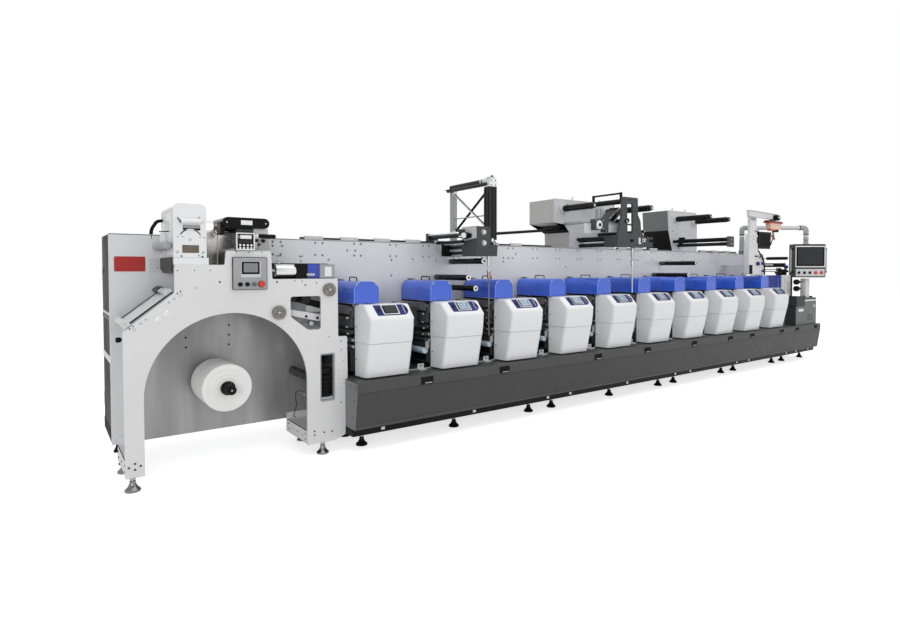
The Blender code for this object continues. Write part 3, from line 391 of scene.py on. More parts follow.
# %% [markdown]
# ## The ten cowls
# Each print unit hides behind a moulded white cowl in two shells. The front
# leans back toward the foot, a flat slope at the top carries the controls, and
# every rim is softly rounded. A bevelled box can't follow that, so the shell is
# lofted: the side profile is one smooth line, and at each station of it the rim
# turns through a quarter circle into the side. The mesh is made once and shown
# ten times, which keeps the file light.

# %% Cowl profile
def smooth_line(points, steps=4):
    """A curve through points that passes each of them."""
    ends = [points[0]] + list(points) + [points[-1]]
    line_points = []
    for p0, p1, p2, p3 in zip(ends, ends[1:], ends[2:], ends[3:]):
        for i in range(steps):
            t = i / steps
            line_points.append(tuple(0.5 * (2 * b + (c - a) * t + (2 * a - 5 * b + 4 * c - d) * t * t
                                            + (3 * b - a - 3 * c + d) * t ** 3)
                                     for a, b, c, d in zip(p0, p1, p2, p3)))
    return line_points + [tuple(points[-1])]


COWL_LOW, COWL_HIGH = mm_box("cowl_01")
COWL_FOOT, COWL_TOP = COWL_LOW.z, COWL_HIGH.z
COWL_BACK = 250
SEAM = COWL_FOOT + 0.47 * (COWL_TOP - COWL_FOOT)
COWL_FRONT = [(72, COWL_FOOT), (64, 635), (45, 714.8), (22, 810.2), (3, 896), (-11, 971), (-18, 1035),
    (-18, 1070), (-16.5, 1088), (-8, 1102.5), (8, 1117.5), (37, 1146.2), (66, 1174.8), (95, 1203.5),
    (107, 1206.5), (125, COWL_TOP), (180, COWL_TOP), (COWL_BACK, COWL_TOP)]
RIM = 36


def cowl_sides(y):
    """Left and right side of the cowl at a depth: it narrows toward the front."""
    lean = (COWL_BACK - y) * 0.06
    return -5 + lean, 438 - lean


def crossing(path, z):
    """Where a path of (y, z) points passes a height."""
    return next((a[0] + (b[0] - a[0]) * (z - a[1]) / (b[1] - a[1]), z)
                for a, b in zip(path, path[1:]) if a[1] <= z < b[1])


def shell(low, high, inset, name):
    """The part of the cowl between two heights, closed behind and below."""
    full = smooth_line(COWL_FRONT)
    stations = [p for p in full if low < p[1] < high - 0.001 or (high >= COWL_TOP and p[1] >= low)]
    if low > COWL_FOOT:
        stations = [crossing(full, low)] + stations
    else:
        stations = [full[0]] + stations
    if high < COWL_TOP:
        stations.append(crossing(full, high))
    rows = []
    for i, (y, z) in enumerate(stations):
        ahead, back = stations[min(i + 1, len(stations) - 1)], stations[max(i - 1, 0)]
        along = Vector((ahead[0] - back[0], ahead[1] - back[1])).normalized()
        if (i == 0 or i == len(stations) - 1) and z < COWL_TOP - 1:
            along = Vector((0, 1))
        inward = Vector((along.y, -along.x))
        left, right = cowl_sides(y)
        bend = RIM * (1 - 0.38 * min(max((z - 1060) / 40, 0), 1))
        row = []
        for k in range(7):
            a = pi / 2 * k / 6
            drop = inset + bend * (1 - sin(a))
            row.append((left + inset + bend * (1 - cos(a)), y + inward.x * drop, z + inward.y * drop))
        rows.append(row + [(left + right - x, yy, zz) for x, yy, zz in reversed(row)])
    bm = bench.bm
    grid = [[bm.verts.new([c / 1000 for c in p]) for p in row] for row in rows]
    made = [bm.faces.new((a[k], a[k + 1], b[k + 1], b[k]))
            for a, b in zip(grid, grid[1:]) for k in range(len(a) - 1)]
    left, right = cowl_sides(COWL_BACK)
    foot, top = [[bm.verts.new((x / 1000, COWL_BACK / 1000, z / 1000)) for x in (left + inset, right - inset)
                  if z < COWL_TOP] for z in (low, high)]
    made.append(bm.faces.new([row[0] for row in grid] + top[:1] + foot[:1]))
    made.append(bm.faces.new([row[-1] for row in grid] + top[1:] + foot[1:]))
    made.append(bm.faces.new(grid[0] + foot[::-1]))
    if top:
        made.append(bm.faces.new(grid[-1] + top[::-1]))
        made.append(bm.faces.new(foot + top[::-1]))
    else:
        made.append(bm.faces.new(grid[-1] + foot[::-1]))
    bench.dress(made, name)

# %% [markdown]
# ## Controls on the cowl's slope
# A dark band with a round right end lies on the slope. It holds a touch screen
# in a bright frame. They are thin plates, so they are drawn flat and then laid
# on the slope, each a hair higher than the one below.

# %% Cowl mesh and controls
SLOPE_A, SLOPE_B = Vector((8, 1117.5)), Vector((95, 1203.5))
SLOPE = (SLOPE_B - SLOPE_A).normalized()
UPWARD = Vector((-SLOPE.y, SLOPE.x))


def on_slope(outline, low, high, name):
    """A thin plate laid on the slope: outline in (x, distance up the slope)."""
    rings = []
    for lift in (low, high):
        rings.append([(x, SLOPE_A.x + SLOPE.x * w + UPWARD.x * lift,
                       SLOPE_A.y + SLOPE.y * w + UPWARD.y * lift) for x, w in outline])
    skin(rings, name)


def cowl_mesh(screen):
    shell(COWL_FOOT, SEAM - 1.5, 2, "cowl_white")
    shell(SEAM + 1.5, COWL_TOP, 0, "cowl_white")
    left, right = cowl_sides(160)
    # Painted shade: a black block inside the cowl darkens what is seen through the seam
    block("black_paint", (left + 12, right - 12, 60, COWL_BACK - 4, SEAM - 120, SEAM + 140))
    band = [(88, 3), (340, 3), (362, 10), (380, 28), (389, 50), (389, 74), (382, 96), (368, 113),
        (354, 119), (78, 119)]
    on_slope(band, -4, 1.8, "navy_band")
    on_slope(rounded_box(146, 296, 13, 116, 5), 1, 4.5, "cast_silver")
    on_slope(rounded_box(154, 288, 20, 111, 3), 4, 5.6, "black_paint")
    on_slope(rect(170, 281, 28, 107), 5, 6.4, screen)
    if screen == "screen_pale":
        for a, b, c, d in ((34, 40, 176, 275), (48, 60, 178, 206), (48, 60, 212, 240),
                           (67, 79, 178, 206), (67, 79, 212, 240), (88, 100, 178, 240),
                           (48, 100, 250, 274)):
            on_slope(rect(c, d, a, b), 6, 6.8, "screen_tile")
    on_slope(rect(349, 353, 20, 112), 1, 3, "cast_silver")
    on_slope(rounded_box(360, 378, 50, 78, 4), 1, 4, "black_paint")
    on_slope(rounded_box(100, 128, 44, 80, 4), 1, 3.2, "black_paint")
    for z in (750, 1020):
        for side, out in zip(cowl_sides(225), (-1, 1)):
            screw(side + (2 if z < SEAM else 0) * -out, 225, z, 6, "black_paint", out, 'x')
    return mesh_of("cowl")

cowl_first, cowl_other = cowl_mesh("screen_dark"), cowl_mesh("screen_pale")
for unit in range(UNITS):
    number = "%02d" % (unit + 1)
    set_up(cowl_first if unit == 0 else cowl_other, "unit_cowl_" + number, "press",
           "cowl_" + number, shift=(PITCH * unit, 0, 0))
print("cowl faces:", len(cowl_first.polygons))

# %% [markdown]
# ## Blue guards
# Behind each cowl a blue acrylic hood covers the ink tray. It is one bent sheet
# with a front plate let into it, a wire handle to lift it by, and a hinge along
# the wall. Acrylic is clear plastic with dye in it: the sheet lets a little of
# what is behind it through. A faint glow is painted into the sheet, and its cut
# edges get a painted highlight, a paler blue that glows a little more.
# Each guard rides on its own body, so that it can be opened.

# %% Guard mesh
def acrylic(name, colour, alpha, glow):
    tree, shader = blank(name)
    base = linear(*colour)
    haze = between(tree, noise_of(tree, 3.0), 0.0, 1.0)
    tree.links.new(tones(tree, haze, [v * 0.9 for v in base], [min(1, v * 1.1) for v in base]),
                   shader.inputs["Base Color"])
    wipe = noise_of(tree, 26.0, (1, 1, 3))
    tree.links.new(between(tree, wipe, 0.07, 0.16), shader.inputs["Roughness"])
    # Emission paints a faint glow into the sheet: painted light, since the sheet is no lamp
    set_all(shader, Alpha=alpha, Coat_Weight=0.5, Coat_Roughness=0.05, Emission_Color=(*base, 1),
            Emission_Strength=glow)

acrylic("blue_acrylic", (58, 100, 214), 0.80, 0.07)
acrylic("blue_edge_highlight", (150, 176, 240), 1.0, 0.1)

GUARD_LOW, GUARD_HIGH = mm_box("guard_01")
GUARD_X0, GUARD_X1 = GUARD_LOW.x, GUARD_HIGH.x
GUARD_FRONT, GUARD_REAR = 200, 730
GUARD_FOOT = GUARD_LOW.z
GUARD_TOP = GUARD_FOOT + 186
BEND, SHEET = 85, 4


def hood_line(inset=0):
    """The guard seen from the front: up one side, over the top and down."""
    a, b, top, r = GUARD_X0 + inset, GUARD_X1 - inset, GUARD_TOP - inset, BEND - inset
    return ([(a, GUARD_FOOT), ] + arc(a + r, top - r, r, 180, 90, 10) + arc(b - r, top - r, r, 90, 0, 10)
            + [(b, GUARD_FOOT)])


def guard_mesh():
    outer, inner = hood_line(), hood_line(SHEET)
    outline = outer + inner[::-1]
    plate(outline, (GUARD_FRONT, GUARD_REAR), "blue_acrylic")
    front = hood_line(SHEET + 0.6)
    plate(front, (GUARD_FRONT + 3, GUARD_FRONT + 7), "blue_acrylic")
    # Painted highlight: strips of the paler, glowing blue along the front rim and the feet of the sheet
    rim = hood_line(0.3) + hood_line(SHEET * 0.8)[::-1]
    plate(rim, (GUARD_FRONT - 1.2, GUARD_FRONT - 0.2), "blue_edge_highlight")
    for x in (GUARD_X0 + 1.5, GUARD_X1 - 5.5):
        block("blue_edge_highlight", (x, x + 4, GUARD_FRONT + 2, GUARD_REAR - 2, GUARD_FOOT - 1.2, GUARD_FOOT - 0.2))
    for x, out in ((GUARD_X0 + BEND * 0.32, -1), (GUARD_X1 - BEND * 0.32, 1)):
        for y in (GUARD_FRONT + 14,):
            block("ground_steel", (x - 7, x + 7, GUARD_FRONT + 1, y, GUARD_TOP - 34, GUARD_TOP - 24))
            screws(GUARD_FRONT + 1, 4.5, "zinc", (x, GUARD_TOP - 29))
    block("navy_band", (GUARD_X0 - 0.8, GUARD_X0 - 0.1, 355, 395, 1325, 1333))
    grip_x, grip_y = GUARD_X0 + 134, GUARD_FRONT + 230
    top = GUARD_TOP - 12
    tube([(grip_x, grip_y, top), (grip_x, grip_y, GUARD_TOP + 30), (grip_x, grip_y + 145, GUARD_TOP + 30),
        (grip_x, grip_y + 145, top)], 5, "black_paint", 14, 10)
    for y in (grip_y, grip_y + 145):
        turned((grip_x, y, GUARD_TOP - 8), (grip_x, y, GUARD_TOP), [(0, 9), (8, 9), (11, 6)], "black_paint",
            12)
    hinge_y, hinge_z = GUARD_REAR + 8, GUARD_TOP + 2
    a, b = GUARD_X0 + BEND + 10.5, GUARD_X1 - BEND - 10.5
    for k in range(3):
        x = a + (b - a) * k / 3
        rod((x + 0.8, hinge_y, hinge_z), (x + (b - a) / 3 - 0.8, hinge_y, hinge_z), 7.2, "black_paint", 14)
    block("black_paint", (a + 4, b - 4, GUARD_REAR - 45, hinge_y, GUARD_TOP + 0.2, GUARD_TOP + 3.2))
    for k in range(3):
        screw(a + 14 + k * (b - a - 28) / 2, GUARD_REAR - 30, GUARD_TOP + 3, 5, "zinc", 1, 'z')
    return mesh_of("guard")

guard = guard_mesh()
for unit in range(UNITS):
    number = "%02d" % (unit + 1)
    set_up(guard, "hood_" + number, "guard_" + number, "guard_" + number,
           shift=(PITCH * unit, 0, 0))
print("guard spans", round(GUARD_X0), "to", round(GUARD_X1), "mm and is", len(guard.polygons), "faces")

# %% [markdown]
# ## The base
# The base is folded sheet metal: an upright brow with hand holes, a skirt that
# leans back under it and a turned hem, on a plinth with levelling feet. The plinth
# is painted black for the shade in the recess under the hem, the leaning skirt is
# painted darker for the shade it lies in, and black blocks behind the hand holes
# paint the shade inside them.
# Every module has its own panels, with a thin joint between neighbours. The
# feet are turned: a bell of cast iron on a threaded stem with two nuts.

# %% Feet and bed modules
BED_ENDS = [-100, 2150, 4400, 5900, 7400, 8330]
BED_TOP, CREASE, HEM, PLINTH = 593, 500, 200, 135
BED_BACK = 752.7
HAND_HOLES = [(553, 1423), (2761, 3635), (4612, 5487), (6085, 6981), (7493, 8148)]


def levelling_foot(x, y, top, bell="black_paint", wide=1.0):
    """Bell, washer, stem and lock nuts."""
    bell_shape = [(0, 46), (4, 50), (14, 50), (20, 44), (34, 30), (50, 22), (66, 19), (72, 19), (74, 16)]
    turned((x, y, 0), 'z', [(d, r * wide) for d, r in bell_shape], bell, 20)
    rod((x, y, 70), (x, y, top + 10), 12, "zinc", 12)
    for z in (80, top - 16):
        rod((x, y, z), (x, y, z + 13), 19, "zinc", 6)


def bed_module(number, a, b, holes):
    a, b = a + 1.2, b - 1.2
    # Painted shade: the body and plinth are black for the shade in the recess under the hem
    body = [(6, BED_TOP - 2), (6, CREASE), (50, HEM + 4), (100, HEM + 4), (100, PLINTH),
        (BED_BACK - 100, PLINTH), (BED_BACK - 100, HEM), (BED_BACK, HEM), (BED_BACK, BED_TOP - 2)]
    end = b - (5.5 if number == len(HAND_HOLES) else 1)
    plate(body, (a + 1, end), "black_paint", 'x')
    slots = [rounded_box(x - 64, x + 64, 507, 573, 8) for x in holes]
    pierced(rect(a, b, CREASE + 1, BED_TOP - 5), slots, (0, 4.5), "skirt_grey")
    # Painted shade: a black block behind each hand hole darkens its inside
    for x in holes:
        block("black_rubber", (x - 67, x + 67, 4.8, 7.5, 504, 576))
        block("box_grey", (x - 20, x + 54, 3, 5, 514, 523))
    plate([(0, BED_TOP - 5), (4, BED_TOP), (BED_BACK, BED_TOP), (BED_BACK, BED_TOP - 3), (6, BED_TOP - 5)],
          (a, b), "skirt_grey", 'x')
    # The leaning skirt takes the darker copy of the paint: painted shade
    plate([(0.8, CREASE - 1.2), (40.5, HEM + 30), (44.5, HEM + 30), (5, CREASE - 1.2)], (a, b),
        "skirt_shaded", 'x')
    plate([(40.2, HEM + 28.5), (45, HEM + 0.5), (60, HEM + 0.5), (60, HEM + 2), (49, HEM + 2),
        (44.2, HEM + 28.5)], (a, b), "skirt_grey", 'x')
    if number == 1:
        plate([(4.5, BED_TOP - 6), (4.5, CREASE), (49, HEM), (BED_BACK, HEM), (BED_BACK, BED_TOP - 6)],
            (a - 1.1, a + 1), "skirt_cap", 'x')
        for y, z in ((50, 550), (50, 440), (80, 300), (140, 550)):
            screw(a - 1, y, z, 6, "black_paint", -1, 'x')
    if number == len(HAND_HOLES):
        for y, z in ((50, 550), (90, 260), (400, 550), (700, 550), (700, 260)):
            screw(end, y, z, 6, "black_paint", 1, 'x')
    long = b - a > 2000
    feet = [a + 165, (a + b) / 2, b - 165] if long else [a + 165, b - (120 if number == 5 else 165)]
    for x in feet:
        for y in (280, 620):
            levelling_foot(x, y, PLINTH)
            block("deep_grey", (x - 35, x + 35, y - 30, y + 30, PLINTH - 6, PLINTH - 0.3))
        tab = x + 90 if x + 130 < b else x - 125
        block("zinc", (tab, tab + 35, 94, 99.8, 155, 180))
    make("base_%d" % number, "bed_%d" % number, 0.0012)

for number, (a, b, holes) in enumerate(zip(BED_ENDS, BED_ENDS[1:], HAND_HOLES), start=1):
    bed_module(number, a, b, holes)

# %% [markdown]
# ## The print decks
# Between the cowls you look into the machine. Two cast side frames, front and
# back, carry the plate cylinder, the screen roller and the pressure roller. In
# front of them lie the ink tray with its rolled rim, a clamping bar and its
# knobs, and a lead roller that takes the web to the next unit. The deck is made
# once, at the first unit, and shown ten times.

# %% Deck mesh
FRAME_TOP, DECK_BACK = COWL_TOP - 43, 752.7


def deck_mesh():
    front, inner, outer = COWL_BACK + 0.3, COWL_BACK + 22.3, DECK_BACK - 22
    foot = BED_TOP + 0.3
    cheek = [(0, foot), (490, foot), (490, FRAME_TOP - 240), (430, FRAME_TOP - 180), (430, FRAME_TOP - 60),
        (370, FRAME_TOP), (12, FRAME_TOP), (0, FRAME_TOP - 12)]
    holes = [hole(270, FRAME_TOP - 235, 50), hole(115, FRAME_TOP - 120, 30, 16)]
    pierced(cheek, holes, (front, inner), "frame_grey")
    back_cheek = [(0, foot), (500, foot), (550, 695), (718, 695), (718, 790), (660, 790),
        (660, FRAME_TOP - 20), (0, FRAME_TOP - 20)]
    pierced(back_cheek, [hole(270, FRAME_TOP - 235, 60)], (outer, DECK_BACK), "frame_grey")
    for x, drop, r, name in ((270, 235, 83, "ground_steel"), (115, 120, 53, "chrome"),
                             (390, 445, 53, "ground_steel")):
        z = FRAME_TOP - drop
        turned((x, inner + 20, z), (x, outer - 20, z), [(0, r - 2), (2, r), (outer - inner - 42, r),
            (outer - inner - 40, r - 2)], name, 32)
        bar("ground_steel", 16, (x, inner - 4, outer + 4, z, 20))
        bar("deep_grey", 36, (x, outer - 19, outer - 4, z, r + 6))
    # Ink tray: bent sheet with a rolled rim
    tray = [(-30, 1122), (-28, 1186), (-12, 1189), (-12, 1186), (-25.5, 1183), (-27.5, 1124), (20, 1094),
        (170, 1094), (197, 1124), (199, 1188), (201.5, 1188), (199.5, 1122), (172, 1091.5), (18, 1091.5)]
    plate(tray, (inner + 4, outer - 30), "stainless")
    bar("chrome", 12, (-24, 262, 700, 1189, 6))
    block("frame_grey", (-31, 4, 256, 275, 1100, 1188))
    # Clamping bar, its slide and knobs, one below the other at the left
    block("frame_grey", (-30, -6, 276, 660, 1010, 1098), (-27, -6, 276, 620, 957, 985))
    for z in (905, 850):
        bar("zinc", 16, (-14, 258, 700, z, 13))
        block("frame_grey", (-29, -2, 300, 324, z - 18, z + 18))
    block("deep_grey", (-22, 190, 285, 700, 640, 828))
    block("black_paint", (-23.5, -21.5, 300, 520, 660, 800))
    for y, z, r in ((325, 1088, 10.5), (335, 1012, 8.5), (315, 957, 8.5), (328, 900, 8)):
        turned((-4, y, z), '-x', [(0, r * 0.5), (22, r * 0.5), (23, r), (40, r), (43, r * 0.8)], "zinc", 16)
    # Rail under the guard, with a rubber stop
    block("black_paint", (-36, -20, 262, 728, 1196, 1209), (166, 182, 262, 728, 1196, 1209))
    for x in (-28, 174):
        for y in (270, 700):
            rod((x, y, 1150), (x, y, 1199), 5, "zinc", 10)
            block("black_paint", (x - 8, x + 8, y - 8, y + 8, 1128, 1152))
    turned((-29, 255, 1194), 'y', [(0, 13), (16, 13), (18, 10)], "black_rubber", 16)
    # Drying box behind the cylinders, with a lid, latches and an air hose
    block("deep_grey", (502, 668, 355, 729, 977, FRAME_TOP - 12))
    block("frame_grey", (499, 671, 352, 729.5, FRAME_TOP - 11, FRAME_TOP))
    for y in (420, 540, 660):
        block("black_paint", (668.5, 672, y - 35, y + 35, 1030, 1100))
        block("zinc", (498.5, 500, y - 20, y + 20, 1060, 1130))
    tube([(600, 400, 1155), (600, 400, 1178), (600, 600, 1178), (600, 705, 1178), (600, 705, 1155)], 11,
        "black_rubber", 20)
    tube([(540, 360, 990), (540, 300, 960), (520, 300, 800), (450, 310, 700)], 9, "black_rubber", 50, 10)
    # Lead roller, its bearing plate and the angle that carries it
    roller_x, roller_z = 700, 755
    turned((roller_x, 262, roller_z), 'y', [(0, 12), (2, 26), (5, 28), (464, 28), (468.5, 26)],
        "pale_blue_roller", 28)
    block("box_grey", (694, 732, 252, 258, 774, 841))
    block("deep_grey", (700, 712, 258, 730, 790, 820))
    pierced(rect(604, 670, 593.5, 645), [hole(637, 625, 9, 12)], (244, 250), "pale_grey")
    block("pale_grey", (604, 670, 190, 250, 593.3, 599))
    for x in (618, 656):
        screw(x, 215, 599, 6, "zinc", 1, 'z')
    block("pale_grey", (452, 748, 250.5, 262, 593.3, 600.5))
    # Drive housing behind the lower cylinder, hoses to the ink pump
    block("deep_grey", (505, 660, 500, 729, 600, 680))
    tube([(600, 520, 640), (600, 420, 660), (560, 340, 720), (500, 330, 800)], 8, "black_rubber", 60, 10)
    tube([(630, 520, 630), (640, 400, 615), (560, 330, 625), (497, 360, 660)], 7, "blue_part", 60, 10)
    screws(front + 0.5, 7, "zinc", (30, 660), (30, 900), (420, 700), (455, 860))
    return mesh_of("deck", 0.001)


finish("pale_blue_roller", (196, 210, 226), 0.3, 0.25, 0.04, 5, 300, 0.1)
deck = deck_mesh()
for unit in range(UNITS):
    set_up(deck, "deck_%02d" % (unit + 1), bevel=0.0009, shift=(PITCH * unit, 0, 0))
print("deck faces:", len(deck.polygons))

# %% [markdown]
# ## The back wall
# One long plate carries everything that isn't on the base. It is drilled all
# along in pairs of pairs, so that an idler or a winder can be bolted on
# wherever a job needs it. The holes are cut into the outline before the plate is
# given its thickness, so they are real and not painted dots.

# %% Wall, rail and guard hinges
WALL_LOW, WALL_HIGH = mm_box("back_wall")
WALL_X0, WALL_X1 = WALL_LOW.x, WALL_HIGH.x
WALL_Y, WALL_T, WALL_FOOT, WALL_TOP = 753, 25, WALL_LOW.z, 1765
RAIL_STEP = 340
RAILS = ((-280, 2780), (3980, 5160), (5900, WALL_X1 - 50))

holes = []
for k in range(-8, 13):
    for x in (2105 + 375 * k, 2173 + 375 * k):
        for z in (1735, 1627):
            holes.append(hole(x, z, 11, 10))
for x, z in ((-20, 1585), (1140, 1587), (2032, 1628), (2032, 1586), (2215, 1675), (160, 1672), (240, 1672),
             (860, 1600), (620, 1590), (620, 1440), (3020, 1530), (4200, 1530), (4500, 1660), (5600, 1660),
             (6300, 1400), (-440, 1700), (-520, 1700)):
    holes.append(hole(x, z, 10.5, 10))
outline = rect(WALL_X0, WALL_X1, WALL_FOOT, WALL_TOP)
pierced(outline, holes, (WALL_Y, WALL_Y + WALL_T), "wall_grey")
block("frame_grey", (WALL_X0 + 2, WALL_X1 - 2, WALL_Y - 1.6, WALL_Y - 0.2, WALL_TOP - 8.5, WALL_TOP - 4.5))
for x0, x1 in RAILS:
    block("deep_grey", (x0, x1, WALL_Y + 4, WALL_Y + WALL_T - 4, WALL_TOP + 0.3, WALL_TOP + 19))
    for i in range(int((x1 - x0 - 20) / RAIL_STEP)):
        x = x0 + 40 + i * RAIL_STEP
        block("pale_grey", (x, x + 170, WALL_Y + 2, WALL_Y + WALL_T - 2, WALL_TOP + 2, WALL_TOP + 30))
        for s in (30, 140):
            screws(WALL_Y + 2, 5, "zinc", (x + s, WALL_TOP + 16))
hinge_y, hinge_z = 738, GUARD_TOP + 2
for i in range(UNITS):
    for x in (PITCH * i + GUARD_X0 + BEND, PITCH * i + GUARD_X1 - BEND - 10):
        ear = arc(hinge_y, hinge_z, 7.5, 90, 270, 6) + [(WALL_Y + 4, hinge_z - 7.5),
                                                          (WALL_Y + 4, hinge_z + 7.5)]
        plate(ear, (x, x + 10), "black_paint", 'x')
make("drilled_wall", "back_wall", 0.0008)

# %% [markdown]
# ## Cabinets behind the wall
# Drives and dryers stand behind the wall in a row of steel cabinets. Nothing of
# their back is in the photograph, so they are finished plainly, as such
# cabinets are: doors with a return edge, a lever handle and louvres, on
# levelling feet. The end that the photograph does show is brushed stainless steel with
# a round door pull.

# %% Cabinets
CAB_LOW, CAB_HIGH = mm_box("rear_cabinets")
CAB_FOOT = 209

x0, x1, y0, y1 = CAB_LOW.x + 6, CAB_HIGH.x, CAB_LOW.y, CAB_HIGH.y - 19
top = CAB_HIGH.z
block("wall_grey", (x0 + 2, x1, y0, y1 - 4, CAB_FOOT, top))
# Painted reflection: the stainless end takes the clouded finish
block("cabinet_side", (x0, x0 + 1.8, y0 + 1, y1 - 12, CAB_FOOT + 2, top - 4))
for low, high, name in ((1155, 1175, "pale_grey"), (1118, 1150, "deep_grey"), (800, 850, "plate_white"),
                        (212, 300, "black_rubber")):
    block(name, (x0 - 3, x0 + 1, y0 + 1, y1 - 12, low, high))
turned((x0 + 2, 1245, 1490), (x0 - 20, 1245, 1490), [(0, 14), (3, 14), (3.5, 24), (7.5, 21)], "black_paint",
    20)
for z in (450, 1450):
    block("zinc", (x0 - 4, x0 + 1, y1 - 50, y1 - 20, z - 50, z + 50))
span = (x1 - x0) / 5
for i in range(5):
    a, b = x0 + i * span + 6, x0 + (i + 1) * span - 6
    mid = (a + b) / 2
    for left, right, latch in ((a, mid - 2, mid - 50), (mid + 2, b, mid + 50)):
        block("pale_grey", (left, right, y1 - 3.5, y1 - 0.3, CAB_FOOT + 20, top - 20))
        block("black_paint", (latch - 12, latch + 12, y1 - 1, y1 + 4, 940, 1120))
        block("chrome", (latch - 8, latch + 8, y1 + 3, y1 + 18, 980, 1080))
        for k in range(9):
            block("deep_grey", (left + 120, right - 120, y1 - 1, y1 + 4, 360 + k * 30, 372 + k * 30))
        for z in (400, 1550):
            hinge = left + 6 if latch > (left + right) / 2 else right - 6
            rod((hinge, y1 + 3, z), (hinge, y1 + 3, z + 90), 6, "zinc", 12)
for i in range(6):
    x = x0 + 80 + i * (x1 - x0 - 160) / 5
    for y in (y0 + 160, y1 - 80):
        block("deep_grey", (x - 50, x + 50, y - 50, y + 50, CAB_FOOT - 8, CAB_FOOT - 0.3))
        levelling_foot(x, y, CAB_FOOT - 12, "black_paint", 0.6)
make("drive_cabinets", "rear_cabinets", 0.0015)
# %% [markdown]
# ## The unwinder plate
# The left end of the press is one thick white plate with an arch cut out, so
# that a roll can be lifted in from the front. On the real plate all openings are
# cut by laser from one drawing. The same is done here: the outline and every
# hole are drawn first, their corners are rounded, and only then the plate gets
# its thickness.

# %% Plate with its openings
def soften(points, r):
    """Rounds the corners of a closed outline."""
    out = []
    for i, p in enumerate(points):
        a, b, c = Vector(points[i - 1]), Vector(p), Vector(points[(i + 1) % len(points)])
        reach = min(r, (a - b).length * 0.45, (c - b).length * 0.45)
        start, end = b + (a - b).normalized() * reach, b + (c - b).normalized() * reach
        for t in (0, 1 / 3, 2 / 3, 1):
            out.append(tuple(start.lerp(b, t).lerp(b.lerp(end, t), t)))
    return out


PLATE_Y, PLATE_BACK, REAR = 230, 250, 752.7
ARCH_X, ARCH_Z, ARCH_R = -989, 614, 566

finish("turned_steel", (116, 113, 108), 0.32, 0.85, 0.22, 30, 500, 0.5, stretch=(1, 1, 6), swing=0.14)
finish("polished_foot", (120, 120, 121), 0.16, 0.95, 0.25, 24, 90, 0.05)
right = ARCH_X + ARCH_R
edge = soften([(-1670, 100), (-1672, 1088), (-1647, 1106), (-1361, 1336), (-1360, 1532), (-1030, 1532),
               (-1022, 1636), (-698, 1637), (-690, 1425), (-163, 1425), (-161, 949),
               (-84, 949), (-80, 594), (-101, 594), (-101, 135), (-195, 100)], 12)
outline = edge + [(right, 100)] + arc(ARCH_X, ARCH_Z, ARCH_R, 0, 180, 48) + [(ARCH_X - ARCH_R, 100)]
window = soften([(-552, 1287), (-306, 1287), (-306, 1018), (-410, 1018), (-552, 1130)], 22)
slot = rounded_box(-317, -190, 430, 820, 14, 4)
small = [(-1066, 1408, 7.5), (-1340, 1491, 4.5), (-1233, 1493, 4.5), (-1130, 1492, 4.5), (-137, 911, 6),
    (-116, 748, 4), (-161, 674, 4), (-162, 601, 4), (-162, 527, 4), (-108, 562, 4), (-140, 402, 6.5),
    (-654, 1403, 8), (-516, 1409, 5.5), (-458, 1408, 5.5), (-433, 1376, 7.5), (-341, 1391, 6.5),
    (-1323, 1346, 5.5), (-1343, 1332, 5.5), (-1612, 1119, 5.5), (-1632, 1104, 5.5)]
pierced(outline, [window, slot] + [hole(x, z, r, 12) for x, z, r in small], (PLATE_Y, PLATE_BACK),
    "plate_white")
# Painted shade: black sheets behind the small holes stand for the dark of the gap behind
block("black_paint", (-1350, -1050, PLATE_BACK - 4, PLATE_BACK - 2, 1395, 1505),
    (-670, -330, PLATE_BACK - 4, PLATE_BACK - 2, 1360, 1420),
    (-170, -100, PLATE_BACK - 4, PLATE_BACK - 2, 390, 930))
for x, z in ((-1333, 1339), (-1622, 1111.5)):
    block("black_paint", (x - 22, x + 22, PLATE_BACK - 4, PLATE_BACK - 2, z - 18, z + 18))
# Bolts of the legs, small screws, and rings on dowel holes
screws(PLATE_Y, 7.5, "frame_grey", (-1613, 195), (-1649, 173), (-1580, 175), (-1613, 155), (-368, 202),
    (-287, 181), (-219, 180), (-368, 171))
screws(PLATE_Y, 7.5, "zinc", (-1364, 1297), (-1396, 1271), (-1535, 1161), (-1568, 1136), (-1220, 1370))
screws(PLATE_Y, 4.5, "frame_grey", (-949, 1628), (-861, 1627), (-769, 1627), (-134, 838), (-135, 1240),
    (-135, 1100), (-240, 955))
for x, z in ((-1320, 1321), (-1607, 1096)):
    pierced(hole(x, z, 10.5), [hole(x, z, 8.5)], (PLATE_Y - 0.8, PLATE_Y + 1), "box_grey")
# Two push buttons with chrome rings
for x, z in ((-1464, 1156), (-1411, 1197)):
    turned((x, PLATE_Y, z), '-y', [(0, 19.5), (6, 19), (9, 16), (9, 12.5), (6, 12)], "chrome")
    turned((x, PLATE_Y - 5, z), '-y', [(0, 11.8), (4, 11.8), (6, 10)], "cowl_white", 20)
# Two brushed hand discs with a knurled rim, a cross slot and a hub screw
for x, z, r, turn in ((-645, 1168, 53.5, 25), (-238, 1335, 53.5, 70)):
    rim = [(x + (r - 1.2 * (k % 2)) * cos(pi * k / 48), z + (r - 1.2 * (k % 2)) * sin(pi * k / 48))
           for k in range(96)]
    plate(rim, (PLATE_Y - 20, PLATE_Y - 2), "turned_steel")
    turned((x, PLATE_Y - 19.5, z), '-y', [(0, r - 2), (1.5, r - 6), (1.5, 20), (0.51, 18)],
           "turned_steel", 48)
    for k in (0, 90):
        a = radians(turn + k)
        rod((x - cos(a) * r * 0.72, PLATE_Y - 21.2, z - sin(a) * r * 0.72), (x + cos(a) * r * 0.72,
            PLATE_Y - 21.2, z + sin(a) * r * 0.72), 1.8, "frame_grey", 8)
    turned((x, PLATE_Y - 20, z), '-y', [(0, 10), (3, 10), (4, 8)], "zinc", 14)
